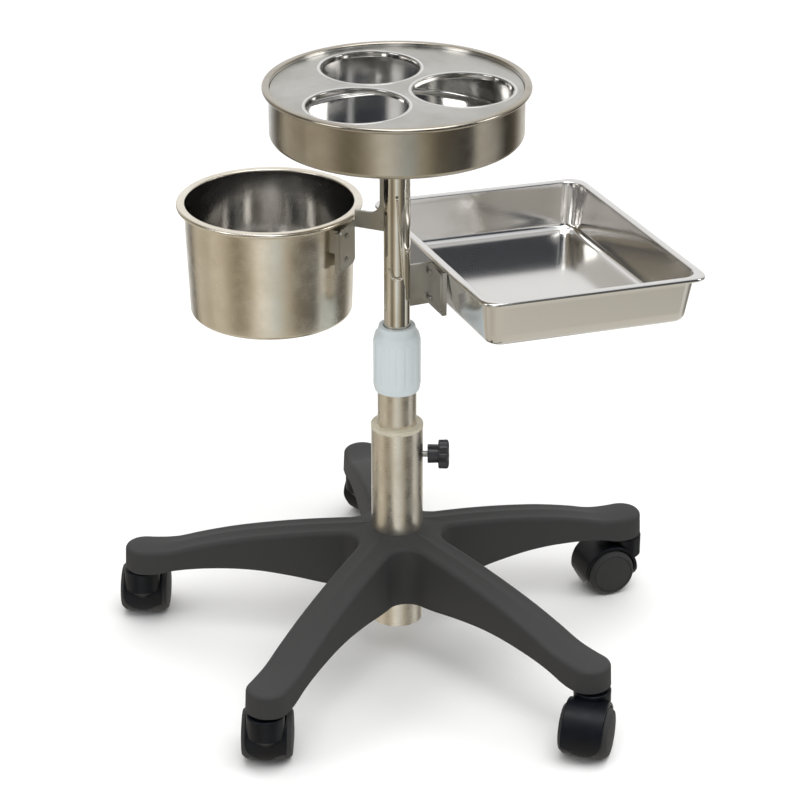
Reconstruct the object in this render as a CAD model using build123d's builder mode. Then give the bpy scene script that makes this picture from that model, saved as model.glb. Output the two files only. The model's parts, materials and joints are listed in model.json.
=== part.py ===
from build123d import *
from math import atan, cos, degrees, radians, sin
import os

# Instrument cart for a clinic: a five-armed nylon star base on twin-wheel casters carries a column
# of three telescoping steel tubes. The column holds a round pan with a jar lid, and two welded arms
# carry a lift-off bin and a lift-off tray.
# Frame: millimetres, origin on the column's axis at floor level, +Z up. Azimuths run from +X to +Y.

# Fits
FIT = 0.05                # radial clearance of a sliding or turning fit
GAP = 0.4                 # clearance between parts that only pass each other

# Column: 2, 1.5 and 1 inch tube
BASE_TUBE_R = 25.5
MID_TUBE_R = 19.05
POST_R = 12.7
TUBE_WALL = 1.5
BASE_TUBE_LOW = 29.5
BASE_TUBE_TOP = 242.5
MID_TUBE_LOW = 72.5
MID_TUBE_TOP = 340.5
POST_LOW = 96.5
POST_TOP = 545.5
GUIDE_HEIGHT = 24.0
GUIDE_FLOOR = 4.0
BUSH_DEPTH = 18.0
BUSH_FLANGE = 4.0

# Side clamp, through the base tube towards +X
CLAMP_Z = 211.5
SCREW_R = 3.0
SCREW_PAD_R = 2.6
CLAMP_NUT_R = 6.5
KNOB_NECK_X = 30.0
KNOB_HEAD_X = 40.6
KNOB_END_X = 51.5
KNOB_NECK_R = 9.5
KNOB_LOBES = 5

# Twist lock between the middle tube and the post
SLEEVE_R = 23.25
SLEEVE_LOW = 283.5
SLEEVE_TOP = 351.5
SLEEVE_LIP_R = 17.75
SLEEVE_FLUTES = 16

# Top pan and its lid
SHEET = 1.0
PAN_R = 119.2
PAN_FLOOR_Z = 545.5
PAN_BEAD_R = 2.5
PAN_RIM_R = 125.5
PAN_RIM_Z = 596.2
LID_TOP_Z = 592.1
LID_THICK = 1.4
LID_LEDGE = 1.6
JAR_HOLE_R = 47.3
JAR_PITCH_R = 61.5
JAR_AZIMUTH = -6.0

# Bin on its arm
BIN_AZIMUTH = 156.4
BIN_AXIS_R = 134.3
BIN_BEAD_R = 2.5
BIN_RIM_R = 90.2
BIN_WALL_R = 82.7
BIN_FOOT_R = 79.0
BIN_FLOOR_Z = 345.1
BIN_RIM_Z = 459.1

# Rectangular tray on its arm, long side tangential. It hangs from one side, so it sags a little.
TRAY_AZIMUTH = 22.4
TRAY_AXIS_R = 148.8
TRAY_SHIFT = 5.8          # of the tray's centre along the tangent, anticlockwise
TRAY_SAG = 2.35           # degrees
TRAY_RIM_Z = 416.0        # at the tray's centre
TRAY_DEPTH = 50.0
TRAY_RIM_HALF = (116.9, 141.7)
TRAY_FLANGE = 6.7
TRAY_LEAN = 6.3           # how far each wall leans out from the floor to the rim
TRAY_RIM_CORNER = 15.0
TRAY_FLOOR_CORNER = 12.0
TRAY_FOLD = 4.2
TRAY_FOOT_R = 8.0

# Arms welded to the post: a radial web folded into a hook plate, with a channel riveted on it.
# Each container drops a hanger tongue into its channel. FOLD is the side that the plate turns to.
ARM_WEB = 3.0
HOOK_PLATE = 2.0
HOOK_WIDTH = 30.0
CHANNEL_SHEET = 1.2
CHANNEL_POCKET = 2.0
TONGUE_PLAY = 0.3
RIVET_R = 2.0
RIVET_HEAD_R = 3.2
BIN_FOLD = 1
BIN_HOOK_R = 44.5
BIN_HOOK_LOW = 409.5
BIN_HOOK_TOP = 452.5
BIN_RIVETS = [(17, 418.5), (17, 442.5)]
TRAY_FOLD_SIDE = -1
TRAY_HOOK_R = 32.2
TRAY_HOOK_LOW = 369.0
TRAY_HOOK_TOP = 411.5
TRAY_RIVETS = [(6, 375.5), (6, 402.5)]
BIN_LEG_R = 17.2
BIN_WEB_LOW = 446.5
BIN_WEB_TOP = 463.5
BIN_WEB_END = 43.4
CHANNEL_DROP = 2.0
CHANNEL_STEP = 3.5
HANGER_FOLD = 2.0
HANGER_PAD = 22.0

# Wire hook
WIRE_R = 1.0
HOOK_Z = 487.5
HOOK_Y = -15.4

# Star base
ARM_AZIMUTHS = [26.33, 98.33, 170.33, 242.33, 314.33]
ARM_END_R = 281.3
ARM_HALF = 21.7
ARM_DRAFT = 2.3
ARM_DRAFT_Z = 42.5
ARM_END_LEAN = 1.0
ARM_CREST = 5.0
ARM_WALL = 4.0
ARM_CROWN = [
    (20, 133.5), (43, 130), (93, 123), (134, 115.8), (172, 107.5), (207, 97.5), (232, 89.5), (254, 86.5),
]
ARM_BELLY = [(248, 62.5), (228, 68.5), (186, 75.5), (146, 77.5), (107, 74.5), (72, 69.5), (20, 65.5)]
RIB_RADII = [105, 150, 195, 235]
RIB_THICK = 2.5
SOCKET_R = 10.0
HUB_R = 47.0
HUB_TOP = 133.5
HUB_LOW = 65.5
HUB_BULGE = 3.0
HUB_BEVEL = 12.0
HUB_WALL = 14.0
ARM_BLOCK = 100.0
OVERSHOOT = 5.0

# Casters, in azimuth order of the arms: direction from the stem to the wheels
CASTER_NAMES = ["right", "back", "left", "front_left", "front_right"]
CASTER_TRAILS = [200.0, 55.0, 87.0, 88.0, 254.0]
STEM_RING_R = 265.0
STEM_R = 5.5
PIN_R = 3.6
TRAIL = 21.0
WHEEL_R = 25.0
WHEEL_WIDTH = 17.5
CASTER_WIDTH = 50.0
AXLE_R = 3.0
WEB_HALF = 6.0
HOOD_HALF = 20.0
HOOD_INNER_R = 26.2
HOOD_OUTER_R = 29.4
HOOD_TOP = 59.0
HOOD_LOW = 10.0
HOOD_EDGE_ROUND = 1.2
SHIELD = [(20.0, 38.0), (15.0, 18.0), (0.0, 10.5), (-15.0, 18.0), (-20.0, 38.0)]
HOUSING_R = 18.0
HOUSING_FOOT_R = 8.0
HOUSING_LOW = 26.0
HOUSING_CONE_TOP = 37.0
HOUSING_ROUND = 1.5
CUT_REACH = 40.0
COLLAR_R = 8.0
PIN_LOW = 34.0
STEM_TOP = 81.0
AXLE_HALF = 20.0
ARM_UNDERSIDE = 62.5


def radial_plane(azimuth, radius=0.0, height=0.0):
    """Level plane whose local X points outwards at an azimuth."""
    angle = radians(azimuth)
    outward = (cos(angle), sin(angle), 0)
    return Plane(origin=(radius * outward[0], radius * outward[1], height), x_dir=outward, z_dir=(0, 0, 1))


def side_plane(azimuth):
    """Upright plane through the column's axis: local X outwards, local Y up."""
    angle = radians(azimuth)
    outward = (cos(angle), sin(angle), 0)
    across = (sin(angle), -cos(angle), 0)
    return Plane(origin=(0, 0, 0), x_dir=outward, z_dir=across)


def face_plane(azimuth, radius):
    """Upright plane square to an azimuth: local X runs anticlockwise round the column, local Y up."""
    angle = radians(azimuth)
    outward = (cos(angle), sin(angle), 0)
    tangent = (-sin(angle), cos(angle), 0)
    return Plane(origin=(radius * outward[0], radius * outward[1], 0), x_dir=tangent, z_dir=outward)


def tube(radius, wall, low, top):
    """Plain round tube on the column's axis."""
    with BuildPart() as pipe:
        with BuildSketch(Plane.XY.offset(low)):
            Circle(radius)
            Circle(radius - wall, mode=Mode.SUBTRACT)
        extrude(amount=top - low)
    return pipe.part


# ---- star base ----

def arm_section(lift, close_low):
    """Side view of an arm along +X: the crown line, lifted or sunk, closed by the belly or a level line."""
    crown = [(x, z + lift) for x, z in ARM_CROWN]
    far = ARM_END_R + OVERSHOOT
    level = HUB_LOW - ARM_HALF
    with BuildSketch(Plane.XZ) as section:
        with BuildLine():
            Spline(*crown, tangents=((1, -0.1), (1, 0)))
            Line(crown[-1], (far, crown[-1][1]))
            if close_low:
                Polyline((far, crown[-1][1]), (far, level), (crown[0][0], level), crown[0])
            else:
                Polyline((far, crown[-1][1]), (far, ARM_UNDERSIDE), ARM_BELLY[0])
                Spline(*ARM_BELLY, tangents=((-1, 0.1), (-1, -0.1)))
                Line(ARM_BELLY[-1], crown[0])
        make_face()
    return section.sketch


def build_star_arm():
    """One arm along +X: drafted sides, a rounded end over the caster and rounded crest edges."""
    reach = ARM_END_R - ARM_HALF + ARM_END_LEAN
    with BuildPart() as arm:
        with BuildSketch(Plane.XY.offset(ARM_DRAFT_Z)):
            with Locations((reach / 2, 0)):
                SlotCenterToCenter(reach, 2 * ARM_HALF)
        extrude(amount=ARM_BLOCK, taper=ARM_DRAFT)
        extrude(arm_section(0, False), amount=2 * ARM_HALF, both=True, mode=Mode.INTERSECT)
        crest = arm.edges().filter_by(lambda e: e.center().Z > ARM_UNDERSIDE + 15 and e.center().X > 60)
        fillet(crest.filter_by(lambda e: e.length > 40), radius=ARM_CREST)
    return arm.part


def build_arm_hollow():
    """Space under the crown of an arm, less the ribs and the stem socket that stay in it."""
    start = HUB_R + HUB_WALL
    end = ARM_END_R - ARM_HALF
    with BuildPart() as hollow:
        with BuildSketch(Plane.XY.offset(ARM_DRAFT_Z)):
            with Locations(((start + end) / 2, 0)):
                Rectangle(end - start, 2 * (ARM_HALF - ARM_WALL))
        extrude(amount=ARM_BLOCK, taper=ARM_DRAFT)
        extrude(arm_section(-ARM_WALL, True), amount=2 * ARM_HALF, both=True, mode=Mode.INTERSECT)
        with Locations((STEM_RING_R, 0, HUB_LOW)):
            Cylinder(SOCKET_R, ARM_BLOCK, mode=Mode.SUBTRACT)
        with Locations(*[(x, 0, HUB_LOW) for x in RIB_RADII]):
            Box(RIB_THICK, 3 * ARM_HALF, 2 * ARM_BLOCK, mode=Mode.SUBTRACT)
    return hollow.part


def build_star_base():
    """Five arms on a hub that grips the base tube, with a blind socket for each caster stem."""
    arm = build_star_arm()
    hollow = build_arm_hollow()
    with BuildPart() as star_base:
        with BuildSketch(Plane.XZ):
            with BuildLine():
                Polyline((0, HUB_LOW), (HUB_R - HUB_BULGE, HUB_LOW))
                Polyline((HUB_R - HUB_BULGE, HUB_LOW), (HUB_R + HUB_BULGE, HUB_LOW + HUB_BEVEL))
                Polyline((HUB_R + HUB_BULGE, HUB_LOW + HUB_BEVEL), (HUB_R, HUB_TOP - HUB_BEVEL))
                Polyline((HUB_R, HUB_TOP - HUB_BEVEL), (HUB_R - HUB_BEVEL - 1, HUB_TOP))
                Polyline((HUB_R - HUB_BEVEL - 1, HUB_TOP), (0, HUB_TOP), (0, HUB_LOW))
            make_face()
        revolve(axis=Axis.Z)
        for azimuth in ARM_AZIMUTHS:
            add(arm.rotate(Axis.Z, azimuth))
        for azimuth in ARM_AZIMUTHS:
            add(hollow.rotate(Axis.Z, azimuth), mode=Mode.SUBTRACT)
        with BuildSketch(Plane.XY.offset(HUB_LOW - 5)):
            Circle(BASE_TUBE_R)
        extrude(amount=HUB_TOP, mode=Mode.SUBTRACT)
        with BuildSketch(Plane.XY.offset(ARM_UNDERSIDE - 5)):
            with PolarLocations(STEM_RING_R, 5, start_angle=ARM_AZIMUTHS[0]):
                Circle(STEM_R)
        extrude(amount=STEM_TOP - ARM_UNDERSIDE + 5.5, mode=Mode.SUBTRACT)
    return star_base.part


# ---- column ----

def build_tube_bush():
    """Flanged plastic bush in the mouth of the base tube."""
    bore = MID_TUBE_R + FIT
    with BuildPart() as bush:
        with BuildSketch(Plane.XY.offset(BASE_TUBE_TOP - BUSH_DEPTH)):
            Circle(BASE_TUBE_R - TUBE_WALL)
        extrude(amount=BUSH_DEPTH)
        with BuildSketch(Plane.XY.offset(BASE_TUBE_TOP)):
            Circle(BASE_TUBE_R + 0.3)
        extrude(amount=BUSH_FLANGE)
        fillet(bush.edges().group_by(Axis.Z)[-1], radius=1.2)
        with BuildSketch(Plane.XY.offset(BASE_TUBE_TOP - BUSH_DEPTH)):
            Circle(bore)
        extrude(amount=BUSH_DEPTH + BUSH_FLANGE, mode=Mode.SUBTRACT)
    return bush.part


def build_base_tube():
    """Outer column tube, open at both ends, drilled for the clamp screw."""
    with BuildPart() as base_tube:
        add(tube(BASE_TUBE_R, TUBE_WALL, BASE_TUBE_LOW, BASE_TUBE_TOP))
        with BuildSketch(Plane.YZ.offset(BASE_TUBE_R - 4)):
            with Locations((0, CLAMP_Z)):
                Circle(SCREW_R + FIT)
        extrude(amount=8, mode=Mode.SUBTRACT)
    return base_tube.part


def build_clamp_nut():
    """Threaded insert welded inside the base tube's wall, opposite the clamp knob."""
    with BuildPart() as nut:
        with BuildSketch(Plane.YZ.offset(BASE_TUBE_R - 5.9)):
            with Locations((0, CLAMP_Z)):
                Circle(CLAMP_NUT_R)
        extrude(amount=8)
        with BuildSketch(Plane.XY.offset(CLAMP_Z - 20)):
            Circle(BASE_TUBE_R - TUBE_WALL)
        extrude(amount=40, mode=Mode.INTERSECT)
        with BuildSketch(Plane.YZ):
            with Locations((0, CLAMP_Z)):
                Circle(SCREW_R + FIT)
        extrude(amount=40, mode=Mode.SUBTRACT)
    return nut.part


def build_thrust_pad():
    """Nylon pad that the clamp screw pushes against the middle tube."""
    with BuildPart() as pad:
        with BuildSketch(Plane.YZ.offset(MID_TUBE_R + GAP)):
            with Locations((0, CLAMP_Z)):
                Circle(SCREW_PAD_R)
        extrude(amount=2.6)
    return pad.part


def build_clamp_screw():
    """Screw of the side clamp, from the pad to inside the knob."""
    start = MID_TUBE_R + GAP + 2.6 + FIT
    with BuildPart() as screw:
        with BuildSketch(Plane.YZ.offset(start)):
            with Locations((0, CLAMP_Z)):
                Circle(SCREW_R)
        extrude(amount=KNOB_HEAD_X + 4 - start)
        chamfer(screw.edges().group_by(Axis.X)[0], 0.6)
    return screw.part


def build_clamp_knob():
    """Lobed plastic knob with a round neck, moulded over the screw."""
    with BuildPart() as knob:
        with BuildSketch(Plane.YZ.offset(KNOB_NECK_X)):
            with Locations((0, CLAMP_Z)):
                Circle(KNOB_NECK_R)
        extrude(amount=KNOB_HEAD_X - KNOB_NECK_X)
        with BuildSketch(Plane.YZ.offset(KNOB_HEAD_X)):
            with Locations((0, CLAMP_Z)):
                Circle(11.4)
                with PolarLocations(10.4, KNOB_LOBES, start_angle=90):
                    Circle(4.8)
        extrude(amount=KNOB_END_X - KNOB_HEAD_X)
        fillet(knob.edges().group_by(Axis.X)[-1], radius=1.6)
        with BuildSketch(Plane.YZ.offset(KNOB_NECK_X)):
            with Locations((0, CLAMP_Z)):
                Circle(SCREW_R)
        extrude(amount=KNOB_HEAD_X + 4 - KNOB_NECK_X, mode=Mode.SUBTRACT)
    return knob.part


def build_guide(low, outer, inner):
    """Foot bush of a telescoping tube: a cup that the tube stands in and turns in."""
    with BuildPart() as guide:
        with BuildSketch(Plane.XY.offset(low)):
            Circle(outer)
            Circle(inner - 5, mode=Mode.SUBTRACT)
        extrude(amount=GUIDE_FLOOR - FIT)
        with BuildSketch(Plane.XY.offset(low + GUIDE_FLOOR - FIT)):
            Circle(outer)
            Circle(inner, mode=Mode.SUBTRACT)
        extrude(amount=GUIDE_HEIGHT - GUIDE_FLOOR)
    return guide.part


def build_lock_collet():
    """Split plastic collet: plugged into the middle tube, its fingers grip the post."""
    bore = POST_R + FIT
    with BuildPart() as collet:
        with BuildSketch(Plane.XZ):
            with BuildLine():
                Polyline(
                    (bore, MID_TUBE_TOP - 30),
                    (MID_TUBE_R - TUBE_WALL, MID_TUBE_TOP - 30),
                    (MID_TUBE_R - TUBE_WALL, MID_TUBE_TOP),
                    (MID_TUBE_R, MID_TUBE_TOP),
                    (MID_TUBE_R - 1, MID_TUBE_TOP + 2),
                    (16.2, MID_TUBE_TOP + 3),
                    (13.9, MID_TUBE_TOP + 7),
                    (bore, MID_TUBE_TOP + 7),
                    close=True,
                )
            make_face()
        revolve(axis=Axis.Z)
        with BuildSketch(Plane.XY.offset(MID_TUBE_TOP + 2.5)):
            with PolarLocations(14.5, 6):
                Rectangle(8, 1.2)
        extrude(amount=8, mode=Mode.SUBTRACT)
    return collet.part


def build_lock_sleeve():
    """Twist-lock sleeve: straight fluted body, sloping shoulders and a narrow lip round the post."""
    bore = MID_TUBE_R + FIT
    lip_bore = POST_R + GAP
    with BuildPart() as sleeve:
        with BuildSketch(Plane.XZ):
            with BuildLine():
                Polyline((bore, SLEEVE_LOW), (SLEEVE_R - 1.6, SLEEVE_LOW))
                Polyline((SLEEVE_R - 1.6, SLEEVE_LOW), (SLEEVE_R - 0.7, SLEEVE_LOW + 1))
                Polyline((SLEEVE_R - 0.7, SLEEVE_LOW + 1), (SLEEVE_R, SLEEVE_LOW + 8))
                Line((SLEEVE_R, SLEEVE_LOW + 8), (SLEEVE_R, SLEEVE_LOW + 50))
                Spline(
                    (SLEEVE_R, SLEEVE_LOW + 50),
                    (SLEEVE_R - 1.3, SLEEVE_LOW + 58),
                    (SLEEVE_LIP_R + 1.0, SLEEVE_TOP - 4),
                    tangents=((0, 1), (-0.5, 1)),
                )
                Line((SLEEVE_LIP_R + 1.0, SLEEVE_TOP - 4), (SLEEVE_LIP_R, SLEEVE_TOP))
                Polyline((SLEEVE_LIP_R, SLEEVE_TOP), (lip_bore, SLEEVE_TOP), (lip_bore, SLEEVE_TOP - 2))
                Line((lip_bore, SLEEVE_TOP - 2), (bore, MID_TUBE_TOP + 3))
                Line((bore, MID_TUBE_TOP + 3), (bore, SLEEVE_LOW))
            make_face()
        revolve(axis=Axis.Z)
        with BuildSketch(Plane.XY.offset(SLEEVE_LOW + 10)):
            with PolarLocations(SLEEVE_R + 0.9, SLEEVE_FLUTES, start_angle=11.25):
                Circle(1.4)
        extrude(amount=42, mode=Mode.SUBTRACT)
    return sleeve.part


def build_post_plug():
    """Threaded plug welded in the top of the post."""
    with BuildPart() as plug:
        with BuildSketch(Plane.XY.offset(POST_TOP - 20)):
            Circle(POST_R - TUBE_WALL)
            Circle(4, mode=Mode.SUBTRACT)
        extrude(amount=20)
    return plug.part


def build_pan_washer():
    """Wide washer that spreads the pan bolt's load over the pan's floor."""
    with BuildPart() as washer:
        with BuildSketch(Plane.XY.offset(PAN_FLOOR_Z + SHEET)):
            Circle(20)
            Circle(4, mode=Mode.SUBTRACT)
        extrude(amount=2)
        chamfer(washer.edges().group_by(Axis.Z)[-1].sort_by(SortBy.RADIUS)[-1], 0.6)
    return washer.part


def build_pan_bolt():
    """Hexagon bolt through the washer and the pan's floor into the post's plug."""
    head_z = PAN_FLOOR_Z + SHEET + 2
    with BuildPart() as bolt:
        with BuildSketch(Plane.XY.offset(head_z)):
            RegularPolygon(7.5, 6)
        extrude(amount=5)
        chamfer(bolt.edges().group_by(Axis.Z)[-1], 0.7)
        with BuildSketch(Plane.XY.offset(POST_TOP - 16)):
            Circle(4)
        extrude(amount=head_z - POST_TOP + 16)
    return bolt.part


def build_post_tube():
    """Inner post, drilled at the front for the wire hook."""
    with BuildPart() as post:
        add(tube(POST_R, TUBE_WALL, POST_LOW, POST_TOP))
        with BuildSketch(Plane.XZ.offset(POST_R - 5)):
            with Locations((0, HOOK_Z)):
                Circle(WIRE_R + GAP)
        extrude(amount=10, mode=Mode.SUBTRACT)
    return post.part


def build_wire_hook():
    """Bent wire hook that swings from the hole in the post."""
    with BuildPart() as hook:
        with BuildLine() as path:
            FilletPolyline(
                (0, -7.5, HOOK_Z + 3.2),
                (0, -9.2, HOOK_Z),
                (0, HOOK_Y, HOOK_Z),
                (6.0, HOOK_Y, HOOK_Z - 83.6),
                (-4.4, HOOK_Y, HOOK_Z - 82.8),
                (-7.6, HOOK_Y, HOOK_Z - 71.5),
                radius=[1.2, 2.4, 4.2, 4.2],
            )
        with BuildSketch(Plane(origin=path.line @ 0, z_dir=path.line % 0)):
            Circle(WIRE_R)
        sweep(transition=Transition.ROUND)
    return hook.part


# ---- round pan and lid ----

def build_top_pan():
    """Spun round pan with a rolled bead rim and a small step inside that the lid rests on."""
    inner = PAN_R - SHEET
    bead_x = PAN_RIM_R - PAN_BEAD_R
    bead_z = PAN_RIM_Z - PAN_BEAD_R
    ledge_z = LID_TOP_Z - LID_THICK - LID_LEDGE
    with BuildPart() as pan:
        with BuildSketch(Plane.XZ):
            with BuildLine():
                Polyline((0, PAN_FLOOR_Z), (PAN_R - 5, PAN_FLOOR_Z))
                RadiusArc((PAN_R - 5, PAN_FLOOR_Z), (PAN_R, PAN_FLOOR_Z + 5), -5)
                Polyline((PAN_R, PAN_FLOOR_Z + 5), (PAN_R, bead_z), (bead_x, bead_z), (bead_x, PAN_RIM_Z))
                Line((bead_x, PAN_RIM_Z), (inner + 2.4, PAN_RIM_Z))
                RadiusArc((inner + 2.4, PAN_RIM_Z), (inner, PAN_RIM_Z - 2.4), -2.4)
                Polyline((inner, PAN_RIM_Z - 2.4), (inner, PAN_FLOOR_Z + 5))
                RadiusArc((inner, PAN_FLOOR_Z + 5), (inner - 4, PAN_FLOOR_Z + SHEET), 4)
                Polyline((inner - 4, PAN_FLOOR_Z + SHEET), (0, PAN_FLOOR_Z + SHEET), (0, PAN_FLOOR_Z))
            make_face()
            with Locations((bead_x, bead_z)):
                Circle(PAN_BEAD_R)
            with Locations((inner - 0.2, ledge_z)):
                Circle(LID_LEDGE)
        revolve(axis=Axis.Z)
        with BuildSketch(Plane.XY.offset(PAN_FLOOR_Z)):
            Circle(4)
        extrude(amount=2, mode=Mode.SUBTRACT)
    return pan.part


def build_jar_lid():
    """Flat lid with three jar holes, each with a short flange pressed downwards."""
    low = LID_TOP_Z - LID_THICK
    with BuildPart() as lid:
        with BuildSketch(Plane.XY.offset(low)):
            Circle(PAN_R - SHEET - GAP)
            with PolarLocations(JAR_PITCH_R, 3, start_angle=JAR_AZIMUTH):
                Circle(JAR_HOLE_R, mode=Mode.SUBTRACT)
        extrude(amount=LID_THICK)
        with BuildSketch(Plane.XY.offset(low - 4)):
            with PolarLocations(JAR_PITCH_R, 3, start_angle=JAR_AZIMUTH):
                Circle(JAR_HOLE_R + 1.2)
            with PolarLocations(JAR_PITCH_R, 3, start_angle=JAR_AZIMUTH):
                Circle(JAR_HOLE_R, mode=Mode.SUBTRACT)
        extrude(amount=4)
    return lid.part


# ---- bin ----

def bin_section(filled):
    """Half section of the bin about its own axis: filled to the axis, or as sheet with a bead rim."""
    inner = BIN_WALL_R - SHEET
    foot = BIN_FOOT_R - SHEET
    bead_x = BIN_RIM_R - BIN_BEAD_R
    bead_z = BIN_RIM_Z - BIN_BEAD_R
    floor = BIN_FLOOR_Z + SHEET
    with BuildSketch(Plane.XZ) as section:
        with BuildLine():
            Line((0, BIN_FLOOR_Z), (BIN_FOOT_R - 4, BIN_FLOOR_Z))
            RadiusArc((BIN_FOOT_R - 4, BIN_FLOOR_Z), (BIN_FOOT_R, BIN_FLOOR_Z + 4), -4)
            Line((BIN_FOOT_R, BIN_FLOOR_Z + 4), (BIN_WALL_R, bead_z))
            Polyline((BIN_WALL_R, bead_z), (BIN_WALL_R, BIN_RIM_Z), (0, BIN_RIM_Z))
            Line((0, BIN_RIM_Z), (0, BIN_FLOOR_Z))
        make_face()
        if not filled:
            with Locations((bead_x, bead_z)):
                Circle(BIN_BEAD_R)
            with Locations((bead_x, BIN_RIM_Z)):
                Rectangle(bead_x - BIN_WALL_R + SHEET / 2, SHEET, align=(Align.MAX, Align.MAX))
            with BuildLine():
                Line((0, floor), (foot - 3, floor))
                RadiusArc((foot - 3, floor), (foot, floor + 3), -3)
                Polyline((foot, floor + 3), (inner, bead_z), (inner, BIN_RIM_Z + 1))
                Polyline((inner, BIN_RIM_Z + 1), (0, BIN_RIM_Z + 1), (0, floor))
            make_face(mode=Mode.SUBTRACT)
    return section.sketch


def turn_bin(section):
    """Turn a half section about the bin's axis and put it in place."""
    with BuildPart() as turned:
        add(section)
        revolve(axis=Axis.Z)
    return turned.part.moved(radial_plane(BIN_AZIMUTH, BIN_AXIS_R).location)


# ---- rectangular tray ----

def tray_plane(drop):
    """Plane of the tray at a depth below its rim: local X outwards and down with the sag, local Y level."""
    turn = radians(TRAY_AZIMUTH)
    sag = radians(TRAY_SAG)
    normal = Vector(sin(sag) * cos(turn), sin(sag) * sin(turn), cos(sag))
    centre = Vector(
        TRAY_AXIS_R * cos(turn) - TRAY_SHIFT * sin(turn),
        TRAY_AXIS_R * sin(turn) + TRAY_SHIFT * cos(turn),
        TRAY_RIM_Z,
    )
    outward = (cos(sag) * cos(turn), cos(sag) * sin(turn), -sin(sag))
    return Plane(origin=centre - normal * drop, x_dir=outward, z_dir=normal)


def tray_block(inset, top):
    """Tapered block with the tray's rounded plan, inset from its outer wall, rounded at its foot."""
    base = tray_plane(TRAY_DEPTH - inset)
    half_x = TRAY_RIM_HALF[0] - TRAY_FLANGE - TRAY_LEAN - inset
    half_y = TRAY_RIM_HALF[1] - TRAY_FLANGE - TRAY_LEAN - inset
    slope = TRAY_LEAN / (TRAY_DEPTH - TRAY_FOLD)
    with BuildPart() as block:
        with BuildSketch(base):
            RectangleRounded(2 * half_x, 2 * half_y, TRAY_FLOOR_CORNER - inset)
        extrude(amount=TRAY_DEPTH - inset + top, taper=-degrees(atan(slope)))
        fillet(block.edges().group_by(Axis(base.origin, base.z_dir))[0], radius=TRAY_FOOT_R - inset)
    return block.part


def build_side_tray():
    """Pressed rectangular tray with sloping walls and a rounded rolled rim."""
    base = tray_plane(TRAY_FOLD)
    with BuildPart() as tray:
        with BuildSketch(base):
            RectangleRounded(2 * TRAY_RIM_HALF[0], 2 * TRAY_RIM_HALF[1], TRAY_RIM_CORNER)
        extrude(amount=TRAY_FOLD)
        rims = tray.edges().group_by(Axis(base.origin, base.z_dir))
        fillet(rims[-1], radius=2.0)
        fillet(rims[0], radius=1.6)
        add(tray_block(0, 0))
        add(tray_block(SHEET, 5), mode=Mode.SUBTRACT)
    return tray.part


# ---- arms, channels and hangers ----

def hook_plate(azimuth, fold, hook_r, low, top):
    """Upright plate square to the arm, folded to one side, with a large round at its lower back corner."""
    with BuildPart() as plate:
        with BuildSketch(face_plane(azimuth, hook_r)) as outline:
            with Locations((fold * (HOOK_WIDTH - ARM_WEB / 2) / 2, (low + top) / 2)):
                Rectangle(HOOK_WIDTH + ARM_WEB / 2, top - low)
            corners = outline.vertices().group_by(Axis.Z)[0]
            fillet(corners, radius=6)
        extrude(amount=HOOK_PLATE)
    return plate.part


def build_bin_arm():
    """Bin's arm: a leg down the post, a radial web and the folded hook plate."""
    end_r = BIN_HOOK_R + HOOK_PLATE
    with BuildPart() as arm:
        with BuildSketch(side_plane(BIN_AZIMUTH)):
            with BuildLine():
                Polyline((POST_R - 1, POST_TOP), (BIN_LEG_R, POST_TOP), (BIN_LEG_R, BIN_WEB_TOP + 12))
                RadiusArc((BIN_LEG_R, BIN_WEB_TOP + 12), (BIN_LEG_R + 12, BIN_WEB_TOP), -12)
                Line((BIN_LEG_R + 12, BIN_WEB_TOP), (BIN_WEB_END, BIN_WEB_TOP))
                Line((BIN_WEB_END, BIN_WEB_TOP), (BIN_WEB_END, BIN_HOOK_TOP))
                Polyline((BIN_WEB_END, BIN_HOOK_TOP), (end_r, BIN_HOOK_TOP), (end_r, BIN_WEB_LOW))
                Polyline((end_r, BIN_WEB_LOW), (POST_R - 1, BIN_WEB_LOW), (POST_R - 1, POST_TOP))
            make_face()
        extrude(amount=ARM_WEB / 2, both=True)
        add(hook_plate(BIN_AZIMUTH, BIN_FOLD, BIN_HOOK_R, BIN_HOOK_LOW, BIN_HOOK_TOP))
        add(post_core(), mode=Mode.SUBTRACT)
        add(rivet_shanks(BIN_AZIMUTH, BIN_FOLD, BIN_HOOK_R, BIN_RIVETS), mode=Mode.SUBTRACT)
    return arm.part


def build_tray_arm():
    """Tray's arm: a plain radial web and the folded hook plate."""
    end_r = TRAY_HOOK_R + HOOK_PLATE
    with BuildPart() as arm:
        with BuildSketch(side_plane(TRAY_AZIMUTH)):
            with Locations((POST_R - 1, TRAY_HOOK_LOW)):
                Rectangle(end_r - POST_R + 1, TRAY_HOOK_TOP - TRAY_HOOK_LOW, align=(Align.MIN, Align.MIN))
        extrude(amount=ARM_WEB / 2, both=True)
        add(hook_plate(TRAY_AZIMUTH, TRAY_FOLD_SIDE, TRAY_HOOK_R, TRAY_HOOK_LOW, TRAY_HOOK_TOP))
        add(post_core(), mode=Mode.SUBTRACT)
        add(rivet_shanks(TRAY_AZIMUTH, TRAY_FOLD_SIDE, TRAY_HOOK_R, TRAY_RIVETS), mode=Mode.SUBTRACT)
    return arm.part


def post_core():
    """Solid shape of the post's outside, used to fit the arms to it."""
    with BuildPart() as core:
        with BuildSketch(Plane.XY.offset(POST_LOW)):
            Circle(POST_R)
        extrude(amount=POST_TOP - POST_LOW)
    return core.part


def rivet_shanks(azimuth, fold, hook_r, places):
    """Rivet shanks through a hook plate and the web of its channel."""
    with BuildPart() as shanks:
        with BuildSketch(face_plane(azimuth, hook_r)):
            with Locations(*[(fold * across, height) for across, height in places]):
                Circle(RIVET_R)
        extrude(amount=HOOK_PLATE + CHANNEL_SHEET)
    return shanks.part


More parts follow.
